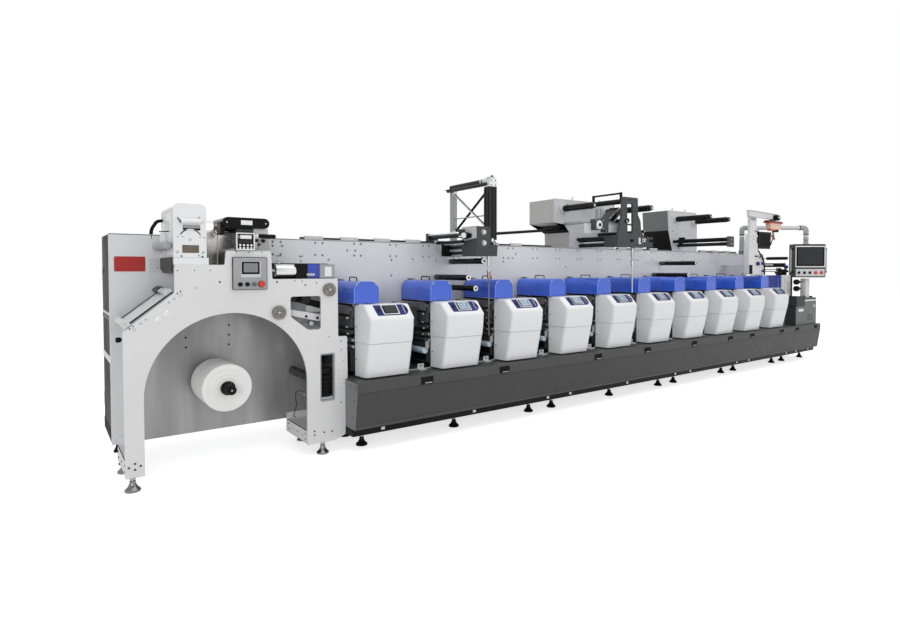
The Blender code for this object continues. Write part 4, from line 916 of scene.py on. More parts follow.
# Bezel of the slot and the dancer seen in it
pierced(rounded_box(-316.5, -190.5, 430.5, 819.5, 14, 4), [rounded_box(-306, -200, 442, 808, 10, 4)],
    (PLATE_Y + 4, PLATE_Y + 30), "box_grey")
block("frame_grey", (-312, -100, 400, 410, 400, 840))
block("black_paint", (-300, -190, 275, 340, 645, 690))
turned((-235, 270, 755), 'y', [(0, 22), (20, 27), (90, 27), (100, 20)], "black_rubber", 20)
for k in range(5):
    turned((-250, 300, 635 - k * 34), (-250, 300, 600 - k * 34), [(0, 40), (14, 49), (28, 49), (34, 40)],
        "black_rubber")
block("pale_grey", (-312, -190, 262, 350, 440, 458))
# In the window: a black roller, its plate and a white arm with a round end
bar("black_anodised", 24, (-400, 300, REAR, 1262, 38))
tube([(-455, 370, 1265), (-300, 340, 1215), (-200, 340, 1190)], 27, "black_rubber", 30, 16)
block("pale_grey", (-385, -150, 352, 360, 1150, 1203))
arm = soften([(-590, 1150), (-570, 1190), (-290, 1135), (-262, 1118), (-268, 1085), (-300, 1078)], 22)
plate(arm, (300, 315), "plate_white")
screws(300, 11, "black_paint", (-403, 1122), (-310, 1105))
for x, z, r in ((-360, 1062, 18), (-300, 1050, 14)):
    bar("zinc", 14, (x, 300, 340, z, r))
block("box_grey", (-410, -250, 345, 360, 1020, 1062))
# Cross members and web rollers between the plate and the wall
for x, z in ((-1250, 1450), (-600, 1330), (-240, 980)):
    block("plate_white", (x - 30, x + 30, PLATE_BACK, REAR, z - 30, z + 30))
for x, z, r in ((-1440, 1120, 38), (-360, 620, 38), (-520, 1370, 33)):
    turned((x, PLATE_BACK + 4, z), 'y', [(0, r * 0.4), (15, r * 0.4), (16, r), (480, r), (482, r * 0.5),
        (500, r * 0.5)], "black_anodised")
# Ties from the legs to the wall, with their uprights and bolts
for x0, x1 in ((-1665, -1565), (-415, -200)):
    pierced(rect(PLATE_BACK, REAR, 100, 205),
        [hole(360, 150, 10, 12), hole(620, 150, 10, 12)], (x0, x0 + 6), "plate_white", 'x')
    block("plate_white", (x0, x1, PLATE_BACK, REAR, 199, 205), (x1 - 6, x1, PLATE_BACK, REAR, 100, 205),
        (x0, x1, REAR - 12, REAR, 100, 259))
    block("frame_grey", (x0, x1, PLATE_BACK, REAR, 100, 104))
    for y, z in ((300, 175), (300, 130), (480, 155), (690, 175), (690, 130)):
        screw(x0, y, z, 7, "frame_grey", -1, 'x')
for x in (-1624, -285):
    for y in (270, 722.7):
        levelling_foot(x, y, 100, "polished_foot")
# A bent wire hook on the pier and a latch knob on the leg
tube([(-428, 420, 500), (-448, 420, 500), (-452, 420, 440), (-440, 420, 400), (-462, 420, 330),
    (-470, 420, 300), (-450, 420, 292)], 3.5, "black_paint", 14, 8)
block("zinc", (-432, -420, 280, 450, 490, 510))
bar("zinc", 12, (-1652, PLATE_BACK, 470, 1017, 8))
turned((-1662, 400, 1017), '-x', [(0, 10), (10, 18), (30, 18), (36, 12)], "black_rubber", 18)
make("arch_plate", "unwinder_frame")

# %% [markdown]
# ## The splice table and the bay
# On the plate's slanted shoulder lies the splice table. The old and the new web
# are laid over each other on its white strip, held by a clamp bar at either end,
# and cut. In the bay below, a grey sheet laid on the wall paints its shade and the
# reflections of a hall: soft upright bands run down it, so its grey runs in bands
# along Z and its gloss changes with the bands.

# %% Splice table
TABLE_A, TABLE_B = Vector((-1648, 1122)), Vector((-1366, 1345))
TABLE = (TABLE_B - TABLE_A).normalized()
TABLE_UP = Vector((-TABLE.y, TABLE.x))


def tilted(along, up, y, name, round_by=0):
    """A bar on the slanted shoulder: start and end along it, height over it, and depth."""
    corners = [(along[0], up[0]), (along[1], up[0]), (along[1], up[1]), (along[0], up[1])]
    if round_by:
        corners = soften(corners, round_by)
    points = [tuple(TABLE_A + TABLE * a + TABLE_UP * u) for a, u in corners]
    plate(points, y, name)

length = (TABLE_B - TABLE_A).length
tilted((20, length - 4), (-40, 4), (268, 700), "frame_grey")
tilted((26, length - 10), (4.2, 8.5), (270, 640), "cowl_white")
tilted((20, length - 4), (4, 11), (642, 700), "deep_grey")
# Painted shade: a black strip for the gap under the table's front edge, and a grey one for the plate's edge
# in its shadow
tilted((15, length - 4), (-28, 1), (250.2, 267), "black_paint")
tilted((15, length - 4), (-26, -4), (PLATE_Y + 2, 250), "box_grey")
# Clamp bars: each on two swing arms, with a rubber strip under it
tilted((-22, 22), (8, 34), (222, 700), "plate_white", 6)
tilted((-17, 17), (3, 8), (240, 690), "black_rubber")
tilted((-26, 26), (-6, 40), (212, 240), "pale_grey", 4)
tilted((-26, 20), (-20, 36), (690, 715), "pale_grey", 4)
tilted((length - 48, length - 6), (12, 38), (275, 690), "pale_grey", 8)
tilted((length - 54, length), (10, 45), (520, 720), "deep_grey", 12)
tilted((length - 54, length), (4, 30), (255, 285), "pale_grey", 5)
for a in (0, length - 27):
    at = TABLE_A + TABLE * a + TABLE_UP * 22
    turned((at.x, 212 if a == 0 else 255, at.y), '-y', [(0, 8), (3, 8), (4, 6)], "zinc", 14)
make("splice_table", bevel=0.0008)


def painted_reflection_streaks(name, dark, light, rough):
    """Painted shade and painted reflections: upright streaks of two greys, glossier where it is lighter."""
    tree, shader = finish(name, light, rough, 0.35, 0.06, 5, 160, 0.03)
    wide = between(tree, noise_of(tree, 1.0, (5.0, 1.0, 0.7), 2.0), 0.0, 1.0, 0.36, 0.66)
    tree.links.new(tones(tree, wide, linear(*dark), linear(*light)), shader.inputs["Base Color"])
    tree.links.new(between(tree, wide, rough + 0.1, rough, 0, 1), shader.inputs["Roughness"])

# A grey sheet on the wall of the bay paints its shade, with painted reflections in streaks
painted_reflection_streaks("bay_painted_shade", (138, 138, 138), (166, 166, 166), 0.24)
holes = [hole(x, z, 8.5, 14) for x, z in ((-880, 1045), (-881, 967), (-882, 888), (-1200, 966),
                                            (-1199, 888))]
pierced([(-1585, 212), (-105, 212), (-105, 1310), (-1585, 1100)], holes, (749.5, 752.6), "bay_painted_shade")
# Painted shade: a black patch on the wall darkens the holes in the sheet
block("black_paint", (-1220, -860, 752.7, 752.9, 870, 1060))
screws(749.5, 6, "zinc", (-1570, 230), (-1570, 600), (-120, 230), (-120, 600), (-800, 230))
make("bay_shade_sheet", bevel=0)

# %% [markdown]
# ## The paper roll
# A roll of label stock is a spiral of thin layers. Its side shows fine rings,
# because no layer lies exactly flush with the next. The rings come from a
# turned profile with tiny steps. The core sits on an expanding shaft with a
# black chuck. The roll rides on its own body, so that it can turn.

# %% Roll, core and expanding shaft
LAYER = 0.6

finish("paper", (232, 232, 231), 0.62, 0, 0.015, 9, 700, 0.12)
finish("core_board", (158, 138, 112), 0.8, 0, 0.1, 5, 600, 0.3)
x, z, front, back = -1005, 620, 300, 680
rings = [(0, 50)]
for k in range(1, 25):
    r = 50 + (173.5 - 50) * k / 24
    rings += [(LAYER * (1 + 0.6 * sin(k * 2.4)), r - LAYER), (LAYER * (1 + 0.6 * sin(k * 2.4 + 2.4)), r)]
rings += [(2.2, 175), (377.8, 175), (380, 173), (380, 50)]
turned((x, front, z), (x, back, z), rings, "paper", 72)
turned((x, front - 3, z), (x, back, z), [(0, 44), (0, 50), (50, 50), (50, 44)], "core_board", 40)
turned((x, front + 1, z), '-y', [(0, 49), (6, 52), (20, 52), (26, 46), (26, 40), (30, 38), (52, 38),
    (56, 34), (56, 13), (50, 12)], "black_anodised", 36)
for k in range(6):
    a = radians(60 * k + 20)
    bar("zinc", 8, (x + 45 * cos(a), front - 18, front - 22.5, z + 45 * sin(a), 3.2))
turned((x, front - 50, z), '-y', [(0, 30), (4, 34), (70, 34), (76, 28)], "black_rubber", 32)
bar("zinc", 12, (x, front - 120, front - 127.5, z, 6))
turned((x, back - 1, z), 'y', [(0, 45), (20, 45), (21, 38), (71.5, 38)], "black_anodised", 32)
make("label_roll", "paper_roll", 0, "paper_roll")

# %% [markdown]
# ## On top of the plate
# Three units stand on the plate: the treater tower that makes the web take ink,
# a web guide under its black sensor bar, and the infeed nip in the notch. A
# small box with a screen and four buttons belongs to them. Their plates are bare.

# %% Treater tower
finish("bare_tag", (98, 90, 82), 0.4, 0.3, 0.12, 40, 400, 0.2)
y, base = 232, 1532.3
face = [(-1362, base + 50), (-1150, base + 50)] + arc(-1188, 1922, 38, 0, 90, 7) + \
    arc(-1324, 1922, 38, 90, 180, 7)
arch_slot = arc(-1254, 1708, 76.5, 152, 28, 14) + arc(-1254, 1708, 68.5, 28, 152, 14)
pierced(face, [rounded_box(-1303, -1190, 1774, 1812, 4), arch_slot], (y, y + 12), "cowl_white")
block("cowl_white", (-1362.5, -1137.5, y, 700, base, base + 49))
body = [(-1357, base + 50), (-1155, base + 50)] + arc(-1190, 1916, 36, 0, 90, 6) + \
    arc(-1322, 1916, 36, 90, 180, 6)
plate(body, (y + 13.5, 300), "plate_white")
plate(body, (303, 560), "plate_white")
plate(body, (563, 752.6), "plate_white")
block("box_grey", (-1302, -1191, y + 12.5, y + 13.5, 1773, 1813))
# Painted shade: a black plate behind the arch slot darkens what is seen through it
block("black_paint", (-1335, -1175, y + 12.5, y + 13.8, 1735, 1790))
# Pull handle: a white tube bar on two lugs over a grey recess
rod((-1316, y - 16, 1836), (-1184, y - 16, 1836), 16.5, "cowl_white")
for x in (-1308, -1192):
    block("cowl_white", (x - 7, x + 7, y - 12, y + 2, 1824, 1848))
tube([(-1334, y - 2, 1860), (-1334, y - 7, 1850), (-1322, y - 7, 1842), (-1320, y - 7, 1822)], 3.5,
    "black_paint", 6, 8)
block("bare_tag", (-1308, -1201, y - 2, y - 0.1, 1615, 1670))
for x in (-1339, -1308, -1195, -1168):
    block("frame_grey", (x - 4, x + 10, y - 0.8, y - 0.1, 1725.5, 1728.5))
for x, z, r, name in ((-1257, 1708, 8.5, "zinc"), (-1198, 1867, 7.5, "zinc"), (-1339, 1620, 9.5, "zinc"),
                      (-1173, 1620, 9.5, "zinc"), (-1313, 1592, 6, "frame_grey"),
                      (-1202, 1596, 5, "frame_grey"), (-1179, 1589, 7, "frame_grey")):
    screws(y, r, name, (x, z))
# Left side: hinged cover, latches, grey air duct and its bracket on the wall
plate(rect(325, 545, 1600, 1900), (-1360.5, -1357.2), "cowl_white", 'x')
plate(rect(585, 720, 1620, 1860), (-1360.5, -1357.2), "cowl_white", 'x')
for y1, z in ((345, 1880), (525, 1880), (345, 1620), (525, 1620), (600, 1840), (705, 1840)):
    screw(-1360.5, y1, z, 5, "zinc", -1, 'x')
tube([(-1392, 300, 1668), (-1392, 660, 1668), (-1392, 735, 1668)], 29, "box_grey", 30, 20)
turned((-1392, 302, 1668), '-y', [(0, 29), (12, 26), (18, 12)], "box_grey", 20)
plate([(270, 1585), (735, 1585), (735, 1505), (600, 1470), (270, 1470)], (-1372, -1364), "deep_grey", 'x')
pierced(rect(-1445, -1366, 1478, 1577), [hole(-1425, 1505, 7, 12)], (744, 752.6), "pale_grey")
screws(744, 7, "zinc", (-1390, 1510))
block("cowl_white", (-1400, -1363, 520, 535, 1690, 1765))
rod((-1410, 500, 1772), (-1362, 420, 1772), 4, "black_paint", 8)
tube([(-1425, 765, 1730), (-1425, 765, 1800), (-1395, 700, 1860), (-1358, 680, 1865)], 12.5, "black_rubber",
    50, 14)
make("treater_housing", "treater_tower", 0.0012)

# %% Web guide, operator box and infeed nip
def painted_fade(name, low, high, z0, z1):
    """Stainless sheet with a painted reflection: bright toward the top and dark toward the bottom."""
    tree, shader = finish(name, (190, 190, 190), 0.22, 0.8, 0.06, 5, 220, 0.15, (12, 12, 1))
    place = tree.nodes.new("ShaderNodeTexCoord")
    split = tree.nodes.new("ShaderNodeSeparateXYZ")
    tree.links.new(place.outputs["Object"], split.inputs[0])
    rise = between(tree, split.outputs["Z"], 0.0, 1.0, z0, z1)
    wave = tree.nodes.new("ShaderNodeMath")
    wave.operation = 'MULTIPLY_ADD'
    tree.links.new(noise_of(tree, 5.0, (3, 3, 1)), wave.inputs[0])
    wave.inputs[1].default_value = 0.5
    tree.links.new(rise, wave.inputs[2])
    tree.links.new(tones(tree, between(tree, wave.outputs[0], 0, 1, 0.2, 1.1), linear(*low), linear(*high)),
                   shader.inputs["Base Color"])

# Painted reflection and shade on the drum's housing: dark low, bright high
painted_fade("drum_sheet", (104, 103, 101), (238, 232, 228), 1.60, 1.80)
finish("bare_plate", (226, 227, 228), 0.35, 0.1, 0.03, 5, 300, 0.05)
finish("screen_grey", (132, 133, 134), 0.16, 0, 0.05, 5, 100, 0.02, shine=0.2)
base = 1637.3
# Stainless housing of the heating drum behind, with a rolled top and a seam
for x0, x1 in ((-1105, -1032), (-1030, -715)):
    drum = [(752.6, 1536), (440, 1536)] + arc(560, 1752, 120, 180, 90, 10) + [(752.6, 1872)]
    plate(drum, (x0, x1), "drum_sheet", 'x')
block("pale_grey", (-1035, -1029, 434, 442, 1540, 1760))
rod((-1050, 400, 1782), (-760, 400, 1782), 14, "chrome", 20)
block("box_grey", (-985, -722, 236, 720, base, base + 14))
# Black sensor bar with a bare plate
bar_line = arc(-755, 1841, 38, -90, 90, 14) + arc(-1010, 1841, 38, 90, 270, 14)
plate(bar_line, (200, 230), "black_paint")
plate(bar_line, (234, 560), "black_anodised")
block("bare_plate", (-923, -842, 198.5, 199.9, 1826, 1859))
for x in (-1020, -745):
    screws(200, 7, "zinc", (x, 1841))
block("black_paint", (-1055, -1025, 240, 340, 1752, 1846))
for x in (-915, -885, -855):
    rod((x, 260, 1790), (x, 260, 1806), 9, "black_paint", 12)
block("frame_grey", (-940, -830, 236, 300, 1765, 1800))
# Controller: pale frame, black face, a display and eight keys
pierced(rounded_box(-958, -825, 1640, 1768, 4), [rounded_box(-949, -834, 1649, 1760, 3)],
    (199, 206), "cowl_white")
block("black_paint", (-957, -826, 204, 262, 1641, 1767))
block("bare_plate", (-928, -848, 203, 204.2, 1724, 1751))
block("box_grey", (-942, -934, 203, 204.2, 1728, 1748))
block("screen_dark", (-940, -842, 203.4, 204.2, 1690, 1716))
for x in (-929, -903, -876, -850):
    for z in (1677, 1656):
        turned((x, 204.5, z), '-y', [(0, 8.5), (3, 8.5), (4, 7)], "cowl_white", 14)
# Bracket at the right with its motor and knobs
block("pale_grey", (-822, -714, 245, 255, 1765, 1806))
plate([(-790, 1649), (-699, 1649), (-712, 1730), (-790, 1730)], (250, 262), "box_grey")
rod((-783, 243, 1750), (-663, 243, 1750), 15.5, "black_paint", 20)
rod((-664, 243, 1750), (-655, 243, 1750), 12, "cast_silver", 16)
for x, z, r in ((-803, 1716, 11), (-755, 1714, 13), (-786, 1686, 9)):
    turned((x, 250, z), '-y', [(0, r * 0.5), (8, r * 0.5), (9, r), (22, r), (25, r * 0.7)], "black_rubber",
        16)
make("web_guide_unit", "web_guide", 0.0008)
y = 213
plate(rounded_box(-981, -733, 1349, 1590, 8), (y + 3, PLATE_Y - 0.3), "black_paint")
plate(rounded_box(-977, -737, 1353, 1586, 6), (y, y + 6), "box_grey")
plate(rounded_box(-924, -781, 1440, 1558, 5), (y - 3, y + 1), "pale_grey")
plate(rounded_box(-919, -790, 1464, 1556, 3), (y - 4.5, y - 2), "black_paint")
block("screen_grey", (-905, -803, y - 5.6, y - 4, 1478, 1545))
for x, name, r in ((-931, "black_rubber", 17), (-880, "black_rubber", 17), (-829, "black_rubber", 17),
                   (-776, "red_button", 23.5)):
    turned((x, y, 1389), '-y', [(0, r + 2), (3, r + 2), (4, r)], "box_grey" if r < 20 else "black_paint")
    turned((x, y - 3, 1389), '-y', [(0, r - 1), (10, r - 1), (14, r - 5)], name)
pierced(hole(-829, 1389, 11, 18), [hole(-829, 1389, 8, 18)], (y - 18.2, y - 16.8), "pale_grey")
for x in (-970, -744):
    for z in (1360, 1579):
        screws(y, 3.5, "zinc", (x, z))
make("unwind_controls", "operator_box", 0.0006)
base = 1425.3
block("black_paint", (-684, -184, 236, 400, base, base + 6), (-684, -184, 385, 400, base, 1548))
# Steel cylinder along the press, then a black block, a blue one and a grey bracket
turned((-657, 292, 1487), 'x', [(0, 46), (4, 53), (150, 53), (157, 50)], "ground_steel", 40)
rod((-684, 292, 1487), (-657, 292, 1487), 14, "zinc", 16)
block("black_paint", (-502, -409, 244, 350, base + 6, 1543))
block("blue_part", (-408, -311, 250, 350, base + 6, 1541), (-404, -315, 246, 250.5, 1500, 1534))
block("zinc", (-416, -352, 240, 251, 1448, 1468))
for x in (-408, -384, -360):
    screws(240, 5, "cast_silver", (x, 1458))
block("box_grey", (-310, -184, 236, 350, base + 6, 1541))
block("bare_plate", (-270, -213, 234.5, 236.2, 1443, 1520))
screws(236, 4.5, "zinc", (-296, 1530), (-198, 1530), (-296, 1445), (-198, 1445))
for x in (-624, -448):
    rod((x, 280, 1538), (x, 280, 1600), 4.5, "zinc", 10)
    rod((x - 16, 280, 1604), (x + 16, 280, 1604), 4.2, "frame_grey", 10)
    turned((x, 280, 1560), 'z', [(0, 6), (4, 9), (12, 9), (16, 6)], "zinc", 14)
bar("black_rubber", 28, (-545, 400, REAR, 1495, 50))
bar("ground_steel", 24, (-340, 400, REAR, 1500, 29))
make("infeed_rollers", "infeed_nip", 0.0008)

plate(rounded_box(-1668, -1468, 1484, 1595, 4), (750, 752.7), "red_paint")
for x in (-1661, -1475):
    for z in (1491, 1588):
        screws(750, 2.5, "zinc", (x, z))
make("bare_red_plate", bevel=0.0004)
# %% [markdown]
# ## The turn-bar tower
# Behind the second unit stands a tower. Its turn bars flip the web over, so that
# the back can be printed too. It is built from stock parts: a black extruded
# column with slots, grey machined blocks, round bars in clamps, and a braced
# post on the wall's far side. The column is drawn as the extrusion's section, so
# that its slots catch light over the whole length.

# %% Tower
def slotted(x0, x1, y0, y1, deep=6):
    """Section of an extruded column, with two slots in each face seen from the front."""
    w, d = x1 - x0, y1 - y0
    line_points = [(x0, y0)]
    for share in (0.30, 0.70):
        c = x0 + w * share
        line_points += [(c - 6, y0), (c - 6, y0 + deep), (c + 6, y0 + deep), (c + 6, y0)]
    line_points += [(x1, y0), (x1, y1), (x0, y1)]
    for share in (0.70, 0.30):
        c = y0 + d * share
        line_points += rect(x0, x0 + deep, c + 6, c - 6)
    return line_points


def roller_end(x, y, z, r, name="cast_silver"):
    """End of a dead shaft roller: bearing, cap and screw."""
    turned((x, y, z), 'y', [(0, r * 0.45), (0, r * 0.82), (3, r * 0.9), (10, r * 0.9)], name, 20)
    turned((x, y - 2, z), 'y', [(0, r * 0.25), (1, r * 0.42), (4, r * 0.42)], "black_paint", 6)


finish("bronze", (150, 122, 112), 0.3, 0.8, 0.1, 5, 300, 0.1)
rear = 778.3
# Front column with its silver head, the rear post and the bars on top
plate(slotted(1364, 1447, 150, 250), (1785, 2300), "black_anodised", 'z')
block("cast_silver", (1350, 1432, 135, 215, 2297, 2372))
block("zinc", (1358, 1420, 140, 205, 2372, 2390))
turned((1392, 160, 2384), 'z', [(0, 10), (6, 16), (18, 16), (22, 10)], "black_rubber", 18)
screws(135, 6, "frame_grey", (1366, 2312), (1418, 2312), (1366, 2355), (1418, 2355))
block("box_grey", (1381, 1425, rear + 10, rear + 80, 1786, 2320))
block("frame_grey", (1351, 1455, rear, rear + 120, 1765.3, 1785))
for x in (1364, 1442):
    screw(x, rear + 20, 1785, 7, "zinc", 1, 'z')
for x, z, r, y0, y1 in ((1388, 2360, 24.5, 215, 848), (1358, 2325, 19, 180, 868)):
    turned((x, y0, z), 'y', [(0, r * 0.7), (4, r), (y1 - y0 - 4, r), (y1 - y0, r * 0.7)], "black_anodised")
turned((1388, 225, 2360), 'y', [(0, 26), (4, 28), (50, 28), (54, 26)], "cast_silver")
turned((1388, 300, 2360), 'y', [(0, 26), (3, 27.5), (18, 27.5), (20, 26)], "cast_silver")
block("frame_grey", (1338, 1410, rear + 16, rear + 84, 2320, 2340))
tube([(1334, 868, 2332), (1334, 790, 2322)], 6, "black_paint")
# Braces, the thin rod between them, and the long bar to the first winder
rod((1394, rear + 30, 2300), (1398, 205, 1885), 10.5, "black_anodised", 14)
rod((1382, rear + 30, 2300), (1386, 205, 1885), 6, "cast_silver", 12)
rod((1412, rear + 33, 1890), (1414, 202, 2310), 12.5, "black_anodised", 14)
bar("zinc", 12, (1404, rear + 30, 240, 2030, 6.5))
for z in (2300, 1890):
    block("zinc", (1378, 1420, rear + 4, rear + 40, z - 16, z + 16))
rod((1405, 852, 1850), (3045, 812, 1992), 16.5, "black_paint", 18)
rod((1430, 851, 1852), (1470, 850, 1856), 21, "frame_grey", 18)
# Head block: machined grey body with a slanted nose, a pale cheek and two dials
plate(soften([(120, 1700), (152, 1627), (360, 1627), (360, 1908), (120, 1908)], 4), (1180, 1345),
    "frame_grey", 'x')
plate([(124, 1796), (300, 1776), (356, 1776), (356, 1904), (124, 1904)], (1176.5, 1180.5), "pale_grey", 'x')
plate([(142, 1735), (152, 1627), (300, 1627), (300, 1735)], (1346, 1452), "frame_grey", 'x')
for x, z, turn in ((1260, 1852, 40), (1264, 1750, 10)):
    turned((x, 120, z), '-y', [(0, 27), (3, 27), (4, 23), (16, 22), (18, 20)], "zinc", 28)
    a = radians(turn)
    rod((x - 18 * cos(a), 101.2, z - 18 * sin(a)), (x + 18 * cos(a), 101.2, z + 18 * sin(a)), 2.8,
        "cast_silver", 8)
screws(120, 4.5, "black_paint", (1193, 1893), (1332, 1893), (1193, 1712), (1332, 1712))
turned((1423, 160, 1752), 'y', [(0, 20), (2, 22.5), (4, 29), (20, 31), (592, 31)], "black_anodised", 28)
turned((1423, 157, 1752), 'y', [(0, 12), (1, 19), (6, 19)], "box_grey")
block("cast_silver", (1378, 1404, 144, 170, 1765, 1798))
block("black_paint", (1372, 1400, 150, 300, 1735, 1765))
# Turn bars at the left, going back to the wall on their carriers
turned((1083, 215, 1820), 'y', [(0, 16), (3, 19), (572, 19), (575, 16)], "black_anodised", 26)
turned((1090, 198, 1819), 'y', [(0, 23), (3, 26), (14, 26), (17, 23)], "cowl_white", 28)
block("cowl_white", (1050, 1072, 212, 235, 1803, 1815))
bar("chrome", 16, (1060, 260, 790, 1845, 9))
turned((1150, 215, 1822), 'x', [(0, 24), (26, 24)], "black_anodised", 22)
turned((1176, 262, 1823), '-x', [(0, 32), (30, 32), (48, 24)], "deep_grey")
block("frame_grey", (1095, 1180, 300, 325, 1800, 1885))
turned((1148, 300, 1768), 'y', [(0, 12), (3, 16), (487, 16), (490, 12)], "black_anodised")
bar("chrome", 14, (1165, 300, 785, 1748, 8))
for x, z, r, name in ((1235, 1722, 19, "black_anodised"), (1250, 1690, 17, "cast_silver"),
                      (1262, 1662, 13, "black_anodised"), (1275, 1642, 15, "cast_silver")):
    turned((x, 361, z), 'y', [(0, r), (320, r), (322, r * 1.25), (391.5, r * 1.25)], name, 22)
block("black_paint", (1150, 1290, 655, 675, 1632, 1760), (1000, 1400, rear + 1, rear + 30, 1765.5, 1786))
block("frame_grey", (1040, 1180, rear + 2, rear + 18, 1786, 1862))
# Rod hanging from the head, in steps, with a bronze coupling
x, y = 1355, 158
steps = [(0, 16), (97, 16), (100, 6.5), (130, 6.5), (133, 18.5), (152, 18.5)]
turned((x, y, 1627), '-z', steps, "zinc", 20)
turned((x, y, 1476), '-z', [(0, 18.5), (60, 18.5), (64, 15)], "bronze", 20)
rod((x, y, 1413), (x, y, 842), 5.8, "turned_steel", 14)
turned((x, y, 860), '-z', [(0, 10), (4, 13), (18, 13), (20, 10)], "black_rubber", 16)
make("turn_bars", "turn_bar_tower", 0.0008)

# %% [markdown]
# ## Idlers and winding shafts
# Idlers are black tubes that turn on a dead shaft with a bearing in either end.
# Winding shafts are thicker: rubber strips lie in grooves along them, and press
# outward with air to grip a core. Both are turned shapes with a few pieces put
# round them. Each one rides on its own body, so that it can spin in its pose.

# %% Idlers and shafts
def idler(number, x, z):
    tip, root, r = 180, 752.5, 28
    turned((x, tip + 4, z), 'y', [(0, 20), (0, r - 2), (2, r), (470, r), (472, r - 4), (484, r - 4),
        (486, r), (555, r), (557, 20)], "black_anodised", 32)
    turned((x, 662, z), 'y', [(0, r + 0.4), (70, r + 0.4)], "frame_grey", 32)
    roller_end(x, tip, z, 30)
    for k in range(5):
        a = radians(72 * k)
        bar("chrome", 8, (x + 18 * cos(a), tip - 1.2, tip + 3, z + 18 * sin(a), 2.6))
    bar("zinc", 16, (x, 735, root, z, 14))
    name = "idler_%d" % number
    make("guide_roller_%d" % number, name, 0, name)

for number, place in enumerate(((1130, 1420), (1312, 1580), (4751, 1422), (4927, 1583), (1215, 1317)), 1):
    idler(number, *place)


def winding_shaft(name, x, z, tip, r):
    """Expanding shaft with eight strips in grooves, a stepped end and a valve."""
    root = 724.7
    outline = []
    for k in range(8):
        for share, radius in ((0.0, r), (0.62, r), (0.68, r * 0.86), (0.94, r * 0.86)):
            a = 2 * pi * (k + share) / 8
            outline.append((a, radius))
    rings = []
    for y in (tip + 52, root - 55):
        rings.append([(x + radius * cos(a), y, z + radius * sin(a)) for a, radius in outline])
    skin(rings, "black_anodised")
    for k in range(8):
        a = 2 * pi * (k + 0.81) / 8
        at = Vector((x + r * 0.90 * cos(a), 0, z + r * 0.90 * sin(a)))
        bar("black_rubber", 8, (at.x, tip + 75, root - 80, at.z, r * 0.085))
    turned((x, tip, z), 'y', [(0, r * 0.45), (3, r * 0.84), (40, r * 0.86), (44, r * 1.04), (56, r * 1.04),
        (60, r * 0.8)], "black_anodised", 32)
    turned((x, tip - 0.4, z), 'y', [(0, r * 0.18), (0.0, r * 0.40), (6, r * 0.40)], "zinc", 16)
    turned((x, root - 60, z), 'y', [(0, r * 0.8), (3, r * 1.08), (30, r * 1.08), (33, r * 0.95),
        (60, r * 0.95)], "black_anodised", 32)
    make("air_" + name, name, 0, name)

for name, x, z, tip, r in (("winding_shaft_1", 2973, 2235, 250, 38), ("winding_shaft_2", 3750, 2235, 40, 38),
                           ("winding_shaft_3", 5290, 2226, 190, 38), ("winding_shaft_4", 5785, 2215, 200, 38),
                           ("rewind_roller", 5330, 1905, -60, 28)):
    winding_shaft(name, x, z, tip, r)

# %% [markdown]
# ## Winder housings
# Each pair of shafts sticks out of a sheet metal box on the wall: a grey hood
# with a pale bearing plate in front. The plate carries ring flanges, screws and
# lifting eyes. The hood is folded, so its lower corner slants, and the slant
# lies in its own shadow, which is painted on it as a black strip.

# %% Housings
def housing(name, stands_for, outline, flanges, eyes, bolts, sheet, shade, extra):
    front = 750
    holes = [hole(x, z, 46, 28) for x, z, r in flanges]
    pierced(outline, holes, (front, front + 18), "pale_grey")
    mid = (min(p[0] for p in outline) + max(p[0] for p in outline)) / 2
    inner = [(x + 5 if x < mid else x - 5, min(z, 2346)) for x, z in outline]
    plate(inner, (front + 18.5, 1205), sheet)
    # Painted shadow: a black strip on the slanted underside of the hood
    under = [(x, z) for x, z in outline if shade[0] - 10 < x < shade[1] + 10 and z < 2200 and z > shade[2]]
    lean = [(x + 1, z + 1) for x, z in under] + [(x + 4.8, z + 3) for x, z in reversed(under)]
    plate(lean, (front + 19, 1204), "black_paint")
    for x, z, r in flanges:
        turned((x, front - 24, z), 'y', [(0, r * 0.62), (2, r * 0.72), (6, r * 0.74), (8, r), (23.5, r)],
            "pale_grey", 36)
        turned((x, front - 24.5, z), 'y', [(0, r * 0.5), (1, r * 0.60), (4, r * 0.60)], "black_anodised",
            32)
        for k in range(6):
            a = radians(60 * k + 15)
            screws(front - 16, 5, "zinc", (x + r * 0.87 * cos(a), z + r * 0.87 * sin(a)))
    for x in eyes:
        turned((x, 815, 2344), 'z', [(0, 16), (6, 16), (8, 7), (18, 7)], "pale_grey", 16)
        tube([(x - 1, 815, 2360), (x - 14, 815, 2372), (x - 12, 815, 2392), (x + 12, 815, 2392),
            (x + 14, 815, 2372), (x + 1, 815, 2360)], 4.5, "pale_grey", 10, 10)
    for x, z, r in bolts:
        screws(front, r, "black_paint", (x, z))
    x0, x1 = min(p[0] for p in outline), max(p[0] for p in outline)
    for k in range(4):
        for side, out in ((x0 + 5.2, -1), (x1 - 5.2, 1)):
            if k < 2:
                screw(side, 830 + 300 * k, 2320, 5, "zinc", out, 'x')
    for k in range(3):
        block("deep_grey", (mid - 250 + 120 * k, mid - 170 + 120 * k, 1204, 1206.5, 2100, 2260))
    block("box_grey", (x0 + 300, x1 - 50, 1204, 1206.2, 1800, 2040))
    extra()
    make(name, stands_for, 0.0012)


def first_extras():
    """Pale rail block beside the foot of the first hood."""
    block("pale_grey", (3105, 3170, 744, 749.5, 1768, 1800))
    screws(744, 5, "zinc", (3125, 1784))


